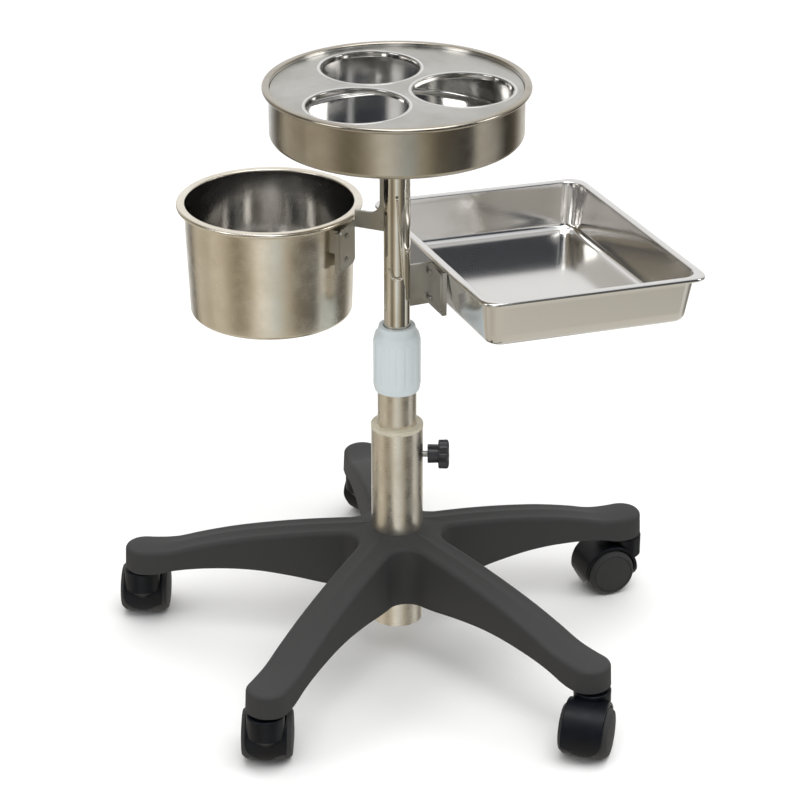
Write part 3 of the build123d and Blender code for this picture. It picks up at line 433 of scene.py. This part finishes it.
def star_sheet(settings):
    """Skin of the star base: a thin-walled shell, drafted outside, open below, with a rounded crest.

    Each row is the plan outline moved in along its normal by an amount, at a share of the height between
    the belly line and the crown line, which depend on the distance from the column.
    """
    half, crest, wall = (value / MM for value in (settings.arm_half, settings.crest_round, settings.wall))
    end_x = ARM_TIP_R - half
    (xy, normal, target), fork = star_outline(half, settings.fork_round / MM, end_x)
    slope = tan(DRAFT)
    reach = np.hypot(*xy.T)
    rows = []

    def row(inset, toward, height):
        plan = (xy - normal * inset[:, None]) * (1 - toward) + target * toward
        rows.append(np.column_stack([plan, height(np.hypot(*plan.T))]))

    def crown(r):
        return smooth_line(CROWN, r)

    belly = smooth_line(BELLY, reach)
    top_inset = slope * (crown(reach) - crest - DRAFT_Z)
    inner = top_inset + wall
    for toward in (1, 0.75, 0.5, 0.25, 0):
        row(inner, toward, lambda r: crown(r) - wall)
    for share in (0.9, 0.5, 0.1):
        row(slope * (belly - DRAFT_Z) * (1 - share) + top_inset * share + wall, 0,
            lambda r: belly + (crown(r) - wall - belly) * share)
    lip = slope * (belly - DRAFT_Z)
    row(lip + wall, 0, lambda r: belly + 0.5)
    row(lip + wall - 0.8, 0, lambda r: belly)
    row(lip + 0.8, 0, lambda r: belly)
    row(lip, 0, lambda r: belly + 0.8)
    for share in np.linspace(0.1, 1, 8):
        row(lip * (1 - share) + top_inset * share, 0,
            lambda r: belly + (crown(reach) - crest - belly) * share)
    for angle in np.linspace(0, pi / 2, 8)[1:]:
        row(top_inset + crest * (1 - cos(angle)), 0, lambda r: crown(reach) - crest * (1 - sin(angle)))
    edge = top_inset + crest
    for toward in np.linspace(0, 1, 9)[1:]:
        camber = settings.camber / MM * (1 - (1 - toward) ** 2)
        row(edge, toward, lambda r: (crown(reach) * (1 - toward) + crown(r) * toward) + camber)
    fifth = np.stack(rows)
    count = fifth.shape[1]
    parts = [spin_about(fifth, 0, trail=azimuth) for azimuth in ARM_AZIMUTHS]
    grid = np.concatenate(parts, axis=1)
    quads = grid_faces(grid.shape[0], grid.shape[1])
    # the bore's short wall joins the top to the underside, in the forks only
    columns = np.arange(grid.shape[1])
    local = columns % count
    in_fork = columns[(local < fork - 1) | (local >= count - fork + 1)]
    after = (in_fork + 1) % len(columns)
    last = (grid.shape[0] - 1) * grid.shape[1]
    closing = np.stack([last + in_fork, last + after, after, in_fork], 1)
    return grid * MM, np.vstack([quads, closing])


def arm_ribs(settings):
    """Cross ribs under each arm: thin upright boxes from inside one wall to inside the other."""
    half = settings.arm_half / MM - 3.2
    sheets = []
    for azimuth in ARM_AZIMUTHS:
        for radius in RIB_RADII:
            low, high = smooth_line(BELLY, radius) + 2, smooth_line(CROWN, radius) - 3
            loop = rounded_path([(-half, low, 0.8), (half, low, 0.8),
                                 (half - 2, high, 0.8), (-half + 2, high, 0.8)], 3, True)
            middle = loop.mean(0)
            rows = [np.column_stack([np.full(len(loop), radius + shift), loop * size + middle * (1 - size)])
                    for shift, size in ((-1.25, 0), (-1.25, 1), (1.25, 1), (1.25, 0))]
            grid = spin_about(np.stack(rows), 0, trail=azimuth)
            sheets.append((grid * MM, grid_faces(4, len(loop))))
    return sheets


def hub_and_sockets():
    """Sleeve round the base tube under the hub, and the socket for each caster stem."""
    sleeve = rounded_path([(BORE_R, HUB_LOW, 0.6), (34, HUB_LOW, 1.2),
                           (36, HUB_TOP, 0.5), (BORE_R, HUB_TOP, 0.5)], 4, True)
    sleeve = np.vstack([sleeve, sleeve[:1]])
    sheets = [turned(sleeve, segments=96)]
    socket = rounded_path([(SOCKET_BORE_R, SOCKET_LOW, 0.4), (SOCKET_R, SOCKET_LOW, 0.8),
                           (SOCKET_R, SOCKET_TOP, 0.4), (SOCKET_BORE_R, SOCKET_TOP, 0.4)], 4, True)
    socket = np.vstack([socket, socket[:1]])
    for azimuth in ARM_AZIMUTHS:
        x, y = STEM_RING_R * cos(radians(azimuth)), STEM_RING_R * sin(radians(azimuth))
        sheets.append(turned(socket, (x, y), 48))
    return sheets


# ---- casters, with the stem's axis at the origin and the wheels towards +X ----

TRAIL = 21.0
AXLE_Z = 25.0


def caster_wheel():
    """Wheel on the +Y side: hollow behind, a rounded tread, a groove and a domed face.

    Its half section is turned about the axle. The dome falls with the square of the radius.
    """
    dome = np.linspace(19.6, 0, 14)
    face = np.column_stack([dome, 25 - 1.5 * (dome / 19.6) ** 2])
    back = rounded_path([(0, 20.5, 0), (3.05, 20.5, 0), (3.05, 7.5, 0), (7, 7.5, 0.6), (7, 15.5, 0.8),
                         (20.5, 15.5, 0.8), (20.5, 8.1, 0.5), (24.4, 8.1, 0.9), (25, 9.6, 1.2),
                         (25, 19.8, 4.2), (21.6, 23.7, 1.2), (20.6, 23.6, 0.4), (20.3, 23.0, 0.2),
                         (19.9, 23.0, 0.2)], 5)
    return turned(np.vstack([back, face]), (TRAIL, AXLE_Z), 96, "Y")


# ---- column ----

def lock_sleeve(settings):
    """Twist-lock sleeve: a straight grip with shallow flutes, round shoulders and a lip at the post."""
    foot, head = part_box("lock_sleeve")
    low, top, radius = foot.z / MM, head.z / MM, head.x / MM
    path = rounded_path([
        (19.1, low, 0.3), (radius - 1.4, low, 0.8), (radius, low + 7, 6), (radius, low + 52, 6),
        (radius - 1.6, low + 59, 5), (18.9, top - 4.6, 1.6), (18.3, top - 3.2, 0.8), (17.75, top, 1.0),
        (13.15, top, 0.6), (13.15, top - 2, 0.2), (19.1, top - 8, 0.3), (19.1, low, 0)], 7)
    path = divide(path, 1.6)
    count = settings.flutes

    def flutes(height, angle):
        window = np.clip((height - low - 9) / 4, 0, 1) * np.clip((low + 54 - height) / 4, 0, 1)
        valley = np.exp(-((np.sin(angle * count / 2) / 0.42) ** 2))
        return 1 - 0.026 * window * valley

    outer = path[:, :1] > 19.5

    def outside_only(height, angle):
        return np.where(outer, flutes(height, angle), 1)

    return turned(path, segments=count * 18, flutes=outside_only)


def clamp_knob(settings):
    """Clamp knob: a round neck and a head whose radius swells into rounded lobes, turned about X."""
    low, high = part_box("clamp_knob")
    start, end, height = low.x / MM, high.x / MM, (low.z + high.z) / 2 / MM
    centre_z = height - 0.7
    path = rounded_path([(0, start + 10, 0), (3.05, start + 10, 0), (3.05, start, 0), (9.5, start, 0.9),
                         (9.2, start + 10.6, 0.6), (12.9, start + 10.6, 1.2), (13.1, end - 1.4, 2.0),
                         (9.4, end - 0.1, 1.5), (8.6, end - 0.9, 0.5), (0, end - 0.6, 0)], 6)
    path = divide(path, 1.0)
    lobes = settings.knob_lobes

    def swell(length, angle):
        head = np.clip((length - start - 10.3) / 0.5, 0, 1)
        wave = np.cos(lobes * (angle - pi / 2))
        return 1 + head * (0.145 * wave + 0.012 * np.cos(2 * lobes * (angle - pi / 2)))

    return turned(path, (0, centre_z), 200, "X", swell)


# ---- steelware ----

SHEET = 1.0
JAR_AZIMUTHS = (-6, 114, 234)
COLLAR_CLEARANCE = 0.15


def vessel(node, wall_top, wall_foot, foot_round, bead):
    """Round sheet vessel with a rolled rim: its closed half section is turned about its own axis.

    The sheet rises from the floor, turns over outwards and ends in a bead under the rim.
    """
    low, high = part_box(node)
    centre = ((low.x + high.x) / 2 / MM, (low.y + high.y) / 2 / MM)
    rim, top, floor = (high.x - low.x) / 2 / MM, high.z / MM, low.z / MM
    under_bead = top - 2 * bead
    path = rounded_path([
        (0, floor, 0), (wall_foot, floor, foot_round), (wall_top, under_bead, 0.8),
        (rim - 0.2, under_bead, bead * 0.98), (rim, top, bead * 0.98), (wall_top - SHEET, top, 1.9),
        (wall_foot - SHEET, floor + SHEET, foot_round - SHEET), (0, floor + SHEET, 0)], 9)
    return turned(divide(path, 12), centre, 224)


def jar_collar(settings, azimuth):
    """Rolled edge of a jar hole: the lid's sheet turns down over a small round.

    Its radius is a clearance less than the hole's, so that the two surfaces don't coincide.
    """
    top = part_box("jar_lid")[1].z / MM
    hole, pitch = settings.jar_hole / 2 / MM - COLLAR_CLEARANCE, settings.jar_pitch / MM
    x, y = pitch * cos(radians(azimuth)), pitch * sin(radians(azimuth))
    path = rounded_path([(hole + 3.4, top - 0.2, 0), (hole + 3.2, top + 0.12, 0.1), (hole, top + 0.12, 2.2),
                         (hole, top - 5.4, 0.3), (hole + 0.9, top - 5.4, 0.3), (hole + 0.9, top - 0.6, 0.5),
                         (hole + 3.4, top - 0.2, 0)], 8)
    return turned(path, (x, y), 128)


TRAY_AZIMUTH = radians(22.4)
TRAY_SAG = radians(2.35)
TRAY_CENTRE = (148.8, 5.8, 416.0)
TRAY_HALF = (116.9, 141.7)
TRAY_DEPTH = 50.0


def round_rectangle(half_x, half_y, corner, steps=11, run=14):
    """Closed loop round a rectangle with round corners, for arrays of half sizes: one row for each."""
    angle = np.linspace(0, pi / 2, steps)
    loops = []
    for quarter in range(4):
        turn = angle + quarter * pi / 2
        sign_x, sign_y = (1, -1, -1, 1)[quarter], (1, 1, -1, -1)[quarter]
        x = sign_x * (half_x - corner)[:, None] + corner[:, None] * np.cos(turn)
        y = sign_y * (half_y - corner)[:, None] + corner[:, None] * np.sin(turn)
        loops.append(np.stack([x, y], -1))
    filled = []
    for quarter in range(4):
        here, following = loops[quarter], loops[(quarter + 1) % 4]
        share = np.linspace(0, 1, run + 2)[1:-1][None, :, None]
        filled += [here, here[:, -1:] * (1 - share) + following[:, :1] * share]
    return np.concatenate(filled, axis=1)


def tray_sheet():
    """Pressed tray: rows of round-cornered rectangles, inset and dropped along the sheet's section.

    The whole tray is then tipped by its sag, turned to its azimuth and moved to its centre.
    """
    lean, fold, flange = 6.3, 4.2, 6.7
    path = rounded_path([
        (60, -TRAY_DEPTH, 0), (flange + lean, -TRAY_DEPTH, 8), (flange + 0.2, -fold, 0.7), (0, -fold, 1.7),
        (0, 0, 2.0), (flange + 1.0, 0, 1.9), (flange + lean + 1, 1 - TRAY_DEPTH, 7),
        (60, 1 - TRAY_DEPTH, 0)], 8)
    path = divide(path, 6)
    inset, height = path.T
    corner = np.interp(inset, [0, flange, flange + lean, 21, 60], [15, 18, 14, 9, 3])
    loops = round_rectangle(TRAY_HALF[0] - inset, TRAY_HALF[1] - inset, corner)
    rows = np.concatenate([loops, np.broadcast_to(height[:, None, None], loops.shape[:2] + (1,))], -1)
    middle = np.zeros_like(rows[:1])
    under, over = middle + [0, 0, -TRAY_DEPTH], middle + [0, 0, 1 - TRAY_DEPTH]
    rows = np.concatenate([under, (under + rows[:1]) / 2, rows, (over + rows[-1:]) / 2, over])
    x, y, z = rows[..., 0], rows[..., 1], rows[..., 2]
    out = TRAY_CENTRE[0] + x * cos(TRAY_SAG) + z * sin(TRAY_SAG)
    up = TRAY_CENTRE[2] - x * sin(TRAY_SAG) + z * cos(TRAY_SAG)
    side = TRAY_CENTRE[1] + y
    grid = np.stack([out * cos(TRAY_AZIMUTH) - side * sin(TRAY_AZIMUTH),
                     out * sin(TRAY_AZIMUTH) + side * cos(TRAY_AZIMUTH), up], -1)
    return grid * MM, grid_faces(*grid.shape[:2])


# ---- settings ----

class CartFinishes(bpy.types.PropertyGroup):
    """Colours of the cart's materials."""
    nylon_colour: FloatVectorProperty(name="Nylon", description="Colour of the star base", subtype="COLOR",
                                      default=srgb("#06070a"), min=0, max=1)
    steel_colour: FloatVectorProperty(name="Steel", description="Colour of clean stainless steel",
                                      subtype="COLOR", default=srgb("#e6e3db"), min=0, max=1)
    patina_colour: FloatVectorProperty(name="Patina", description="Warm stain on the steel", subtype="COLOR",
                                       default=srgb("#d2ccbf"), min=0, max=1)
    sleeve_colour: FloatVectorProperty(name="Sleeve", description="Colour of the twist-lock sleeve",
                                       subtype="COLOR", default=srgb("#76898f"), min=0, max=1)


class CartSizes(bpy.types.PropertyGroup):
    """Sizes of the moulded and pressed pieces."""
    arm_half: FloatProperty(name="Arm half width", description="Half width of an arm low on its side",
                            default=21.7 * MM, unit="LENGTH", min=0.015, max=0.03)
    crest_round: FloatProperty(name="Crest round", description="Radius along an arm's upper edges",
                               default=4.6 * MM, unit="LENGTH", min=0.001, max=0.01)
    fork_round: FloatProperty(name="Fork round", description="Radius between two arms at the hub",
                              default=17 * MM, unit="LENGTH", min=0.005, max=0.05)
    camber: FloatProperty(name="Camber", description="Rise of an arm's top along its middle",
                          default=0.9 * MM, unit="LENGTH", min=0, max=0.004)
    wall: FloatProperty(name="Wall", description="Wall thickness of the star base", default=4 * MM,
                        unit="LENGTH", min=0.002, max=0.008)
    flutes: IntProperty(name="Flutes", description="Flutes round the twist-lock sleeve",
                        default=16, min=6, max=32)
    knob_lobes: IntProperty(name="Knob lobes", description="Lobes of the clamp knob",
                            default=5, min=3, max=8)
    jar_hole: FloatProperty(name="Jar hole", description="Diameter of a hole in the lid", default=94.6 * MM,
                            unit="LENGTH", min=0.05, max=0.1)
    jar_pitch: FloatProperty(name="Jar pitch", description="Distance of a hole from the column",
                             default=61.5 * MM, unit="LENGTH", min=0.055, max=0.065)


class StageSettings(bpy.types.PropertyGroup):
    """Floor, light and camera."""
    floor_colour: FloatVectorProperty(name="Floor", description="Colour of the floor", subtype="COLOR",
                                      default=srgb("#f6f6f5"), min=0, max=1)
    key_power: FloatProperty(name="Key light", description="Power of the key light; the side lights follow",
                             default=20, unit="POWER", min=0, max=500)
    room_level: FloatProperty(name="Room", description="Brightness of the room round the stage",
                              default=0.9, min=0, max=5)


# ---- operators ----

def finishes():
    """The materials, made once and kept by name."""
    made = {name: bpy.data.materials.get(name) for name in SLOT_NAMES}
    if all(made.values()):
        return made
    return all_materials(bpy.context.scene.cart_finishes)


SLOT_NAMES = ("black_nylon", "black_abs", "black_wheel", "brushed_stainless", "polished_stainless",
              "spun_stainless_painted_shade", "drawn_stainless", "satin_stainless", "grey_plastic", "ivory_plastic",
              "zinc_steel")


class CART_OT_star_base(bpy.types.Operator):
    """Build the star base with its ribs and stem sockets"""
    bl_idname = "cart.star_base"
    bl_label = "Star base"

    def execute(self, context):
        sizes = context.scene.cart_sizes
        nylon = finishes()["black_nylon"]
        build_piece("star_base_shell", [star_sheet(sizes)], nylon, "base", ["star_base"])
        build_piece("star_base_ribs", arm_ribs(sizes) + hub_and_sockets(), nylon, "base")
        return {"FINISHED"}


class CART_OT_casters(bpy.types.Operator):
    """Build both wheels of every caster"""
    bl_idname = "cart.casters"
    bl_label = "Caster wheels"

    def execute(self, context):
        made = finishes()
        wheel, quads = caster_wheel()
        for (name, trail), azimuth in zip(CASTERS.items(), ARM_AZIMUTHS):
            for side, flip in (("left", 1), ("right", -1)):
                grid = spin_about(wheel * [1, flip, 1], azimuth, STEM_RING_R * MM, trail)
                build_piece(f"caster_{name}_wheel_{side}_moulding", [(grid, quads)],
                            made["black_wheel"], f"{name}_wheel_{side}",
                            [f"caster_{name}_wheel_{side}"])
        return {"FINISHED"}


class CART_OT_column(bpy.types.Operator):
    """Build the twist-lock sleeve and the clamp knob"""
    bl_idname = "cart.column"
    bl_label = "Sleeve and knob"

    def execute(self, context):
        sizes, made = context.scene.cart_sizes, finishes()
        build_piece("lock_sleeve_grip", [lock_sleeve(sizes)], made["grey_plastic"], "sleeve",
                    ["lock_sleeve"])
        build_piece("clamp_knob_grip", [clamp_knob(sizes)], made["black_abs"], "clamp_knob",
                    ["clamp_knob"])
        return {"FINISHED"}


class CART_OT_steelware(bpy.types.Operator):
    """Build the pan, the lid's rolled holes, the bin and the tray"""
    bl_idname = "cart.steelware"
    bl_label = "Pan, bin and tray"

    def execute(self, context):
        sizes, made = context.scene.cart_sizes, finishes()
        slot = "polished_stainless"
        polished = made[slot]
        pan = vessel("top_pan", wall_top=119.2, wall_foot=119.2, foot_round=5, bead=2.5)
        # the pan's outside takes the darker copy of the steel, which is painted shade
        build_piece("top_pan_sheet", [pan], made["spun_stainless_painted_shade"], "post", ["top_pan"], polished)
        can = vessel("bin", wall_top=82.7, wall_foot=79.0, foot_round=4, bead=2.5)
        build_piece("bin_sheet", [can], made["drawn_stainless"], "bin", ["bin"], polished)
        build_piece("side_tray_sheet", [tray_sheet()], polished, "tray", ["side_tray"])
        for number, azimuth in enumerate(JAR_AZIMUTHS, 1):
            build_piece(f"jar_hole_collar_{number}", [jar_collar(sizes, azimuth)], polished, "lid")
        return {"FINISHED"}


class CART_OT_frame_finish(bpy.types.Operator):
    """Give every working part that stays in view the material of its slot"""
    bl_idname = "cart.frame_finish"
    bl_label = "Frame finishes"

    def execute(self, context):
        made = finishes()
        slots = {part["node"]: part["material_slot"] for part in frame["record"]["subparts"]}
        for name, node in frame["nodes"].items():
            node.data.materials.clear()
            node.data.materials.append(made[slots[name]])
        return {"FINISHED"}


class CART_OT_stage(bpy.types.Operator):
    """Lay the floor and set up the room, the lights and the camera"""
    bl_idname = "cart.stage"
    bl_label = "Stage"

    def execute(self, context):
        stage = context.scene.cart_stage
        floor = self.add_surround("floor", FLOOR_SECTION, stage.floor_colour, 0)
        floor.visible_glossy = False
        wall = self.add_surround("backdrop", BACKDROP_SECTION, stage.floor_colour, BACKDROP_GLOW)
        wall.visible_glossy = wall.visible_diffuse = wall.visible_shadow = False
        self.add_room(stage)
        for name, size, share, at in AREA_LIGHTS:
            self.add_light(name, "AREA", {"size": size, "energy": stage.key_power * share}, at)
        self.add_light("overhead", "SUN", OVERHEAD, OVERHEAD_AT, in_reflections=False)
        self.add_camera(context)
        context.scene.view_settings.view_transform = "Standard"
        return {"FINISHED"}

    @staticmethod
    def add_surround(name, section, colour, glow):
        """Pale round stage piece: a section of (radius, height) in metres, turned about the column."""
        ring = np.linspace(0, 2 * pi, 96, endpoint=False)
        radius, height = np.array(section, float).T[..., None]
        grid = np.stack([radius * np.cos(ring), radius * np.sin(ring), height + 0 * ring], -1)
        mesh = bpy.data.meshes.new(name)
        mesh.from_pydata(grid.reshape(-1, 3).tolist(), [], grid_faces(len(section), 96).tolist())
        material, tree, shader, place = new_material(name + "_paper", colour, 0.7)
        tree.links.new(spread(tree, pattern(tree, place, 0.4), 0.66, 0.74), shader.inputs["Roughness"])
        shader.inputs["Emission Color"].default_value = (*colour, 1.0)
        shader.inputs["Emission Strength"].default_value = glow
        mesh.materials.append(material)
        piece = bpy.data.objects.new(name, mesh)
        bpy.context.scene.collection.objects.link(piece)
        return piece

    @staticmethod
    def add_room(stage):
        """Room light: brightness and colour by direction, with a white back wall and ceiling.

        The upright bands elsewhere are there to be mirrored in the steel, which would look flat without
        them. They are placed one by one and aren't a real room.
        """
        world = bpy.data.worlds.new("studio_room")
        bpy.context.scene.world = world
        world.use_nodes = True
        tree = world.node_tree
        place = add_node(tree, "ShaderNodeTexCoord").outputs["Generated"]
        split = add_node(tree, "ShaderNodeSeparateXYZ", inputs={"Vector": place}).outputs
        turn = add_node(tree, "ShaderNodeMath", {"operation": "ARCTAN2"}, {0: split["Y"], 1: split["X"]})
        share = spread(tree, turn.outputs[0], 0, 1, -pi, pi)

        def bands(levels):
            node = add_node(tree, "ShaderNodeValToRGB", inputs={"Fac": share})
            ramp = node.color_ramp.elements
            while len(ramp) < len(levels):
                ramp.new(0.5)
            for element, (degrees, colour) in zip(ramp, levels):
                element.position = (degrees + 180) / 360
                element.color = (*srgb(colour), 1.0)
            return node.outputs["Color"]

        def blend(value, first, second):
            inputs = {0: value, 6: first, 7: second}
            return add_node(tree, "ShaderNodeMix", {"data_type": "RGBA"}, inputs).outputs[2]

        ground = blend(spread(tree, split["Z"], 0, 1, -0.62, -0.5), bands(GROUND), bands(LOW_BANDS))
        side = blend(spread(tree, split["Z"], 0, 1, -0.2, 0.05), ground, bands(HIGH_BANDS))
        whole = blend(spread(tree, split["Z"], 0, 1, 0.62, 0.8), side, bands(CEILING))
        back = tree.nodes["Background"]
        tree.links.new(whole, back.inputs["Color"])
        back.inputs["Strength"].default_value = stage.room_level

    @staticmethod
    def add_light(name, kind, settings, at, in_reflections=True):
        """Soft light at a place, turned to face the middle of the column."""
        lamp = bpy.data.lights.new(name, kind)
        for key, value in settings.items():
            setattr(lamp, key, value)
        holder = bpy.data.objects.new(name, lamp)
        bpy.context.scene.collection.objects.link(holder)
        dx, dy, dz = -at[0], -at[1], LIGHT_AIM - at[2]
        holder.location = at
        climb = atan2(dz, sqrt(dx * dx + dy * dy))
        holder.rotation_euler = (pi / 2 + climb, 0, atan2(dy, dx) - pi / 2)
        holder.visible_glossy = in_reflections

    @staticmethod
    def add_camera(context):
        """Camera in front of the cart, above it and looking down, with a long lens."""
        lens = bpy.data.cameras.new("camera")
        lens.sensor_width = SENSOR_WIDTH
        lens.lens = FOCAL_LENGTH
        holder = bpy.data.objects.new("camera", lens)
        context.scene.collection.objects.link(holder)
        holder.location = CAMERA_AT
        holder.rotation_euler = (radians(90 - CAMERA_DIP), 0, radians(CAMERA_TURN))
        context.scene.camera = holder


# sections of the floor and the backdrop, as (radius, height) in metres
FLOOR_SECTION = ((0, 0), (0.5, 0), (1.5, 0), (3, 0), (6, 0))
BACKDROP_SECTION = ((5.6, 0.01), (5.8, 0.1), (6, 0.5), (6, 4))
BACKDROP_GLOW = 0.9

# name, width in metres, share of the key light's power, and place
AREA_LIGHTS = (("key", 1.6, 1, (0.3, -0.6, 2.2)), ("left", 0.9, 0.45, (-1.9, -1.2, 1.3)),
               ("right", 0.7, 0.35, (2.0, -0.3, 1.2)))
OVERHEAD = {"angle": radians(100), "energy": 1.5}
OVERHEAD_AT = (0, -0.01, 3)
LIGHT_AIM = 0.3

# lens in millimetres, place in metres, angles in degrees
FOCAL_LENGTH, SENSOR_WIDTH = 122.8, 36
CAMERA_AT = (0, -2.3993, 1.4318)
CAMERA_DIP, CAMERA_TURN = 25.83, -0.069

# colours of the room by direction, in degrees from +X towards +Y
GROUND = ((-180, "#cdc6b8"), (-60, "#d8d2c4"), (60, "#e9e6df"), (180, "#cdc6b8"))
LOW_BANDS = (
    (-180, "#d8d0c0"), (-160, "#d6cebd"), (-148, "#b5ac9a"), (-138, "#8a816f"), (-124, "#958b79"),
    (-112, "#cdc4b2"), (-104, "#fffaf0"), (-95, "#f3f0e8"), (-80, "#cfd9dd"), (-66, "#c2b8a4"),
    (-54, "#7d776b"), (-28, "#5b5a58"), (-18, "#4a4a4b"), (-14, "#f0efea"), (8, "#c4c2bd"),
    (24, "#3b3833"), (42, "#6b655b"), (60, "#efece4"), (110, "#ffffff"), (136, "#4a453d"),
    (150, "#d5cdbd"), (180, "#b3ab9c"),
)
HIGH_BANDS = (
    (-180, "#6a6861"), (-150, "#35363a"), (-128, "#2c2e33"), (-124, "#f4f2ec"), (-119, "#2f3136"),
    (-98, "#3c3f46"), (-92, "#ffffff"), (-84, "#ffffff"), (-79, "#41454d"), (-58, "#3a3f48"),
    (-50, "#2b2e35"), (-46, "#dfe2e4"), (-42, "#33373f"), (-12, "#55585e"), (10, "#8b8a87"),
    (34, "#dddad4"), (60, "#ffffff"), (120, "#ffffff"), (150, "#a9a397"), (180, "#6a6861"),
)
CEILING = ((-180, "#e8e8e8"), (-90, "#c9ccd0"), (90, "#ffffff"), (180, "#e8e8e8"))

STEPS = (CART_OT_frame_finish, CART_OT_star_base, CART_OT_casters, CART_OT_column, CART_OT_steelware,
         CART_OT_stage)


class CART_PT_panel(bpy.types.Panel):
    """Buttons for every step, with the settings under them"""
    bl_idname = "CART_PT_panel"
    bl_label = "Instrument cart"
    bl_space_type = "VIEW_3D"
    bl_region_type = "UI"
    bl_category = "Cart"

    def draw(self, context):
        for step in STEPS:
            self.layout.operator(step.bl_idname)
        for group in (context.scene.cart_finishes, context.scene.cart_sizes, context.scene.cart_stage):
            for name in group.__annotations__:
                self.layout.prop(group, name)


GROUPS = {"cart_finishes": CartFinishes, "cart_sizes": CartSizes, "cart_stage": StageSettings}


def register():
    for group in GROUPS.values():
        bpy.utils.register_class(group)
    for name, group in GROUPS.items():
        setattr(bpy.types.Scene, name, PointerProperty(type=group))
    for cls in (*STEPS, CART_PT_panel):
        bpy.utils.register_class(cls)


def unregister():
    for cls in (CART_PT_panel, *reversed(STEPS)):
        bpy.utils.unregister_class(cls)
    for name, group in GROUPS.items():
        delattr(bpy.types.Scene, name)
        bpy.utils.unregister_class(group)


def main():
    """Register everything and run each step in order."""
    register()
    bpy.ops.cart.frame_finish()
    bpy.ops.cart.star_base()
    bpy.ops.cart.casters()
    bpy.ops.cart.column()
    bpy.ops.cart.steelware()
    bpy.ops.cart.stage()


if __name__ == "__main__":
    main()
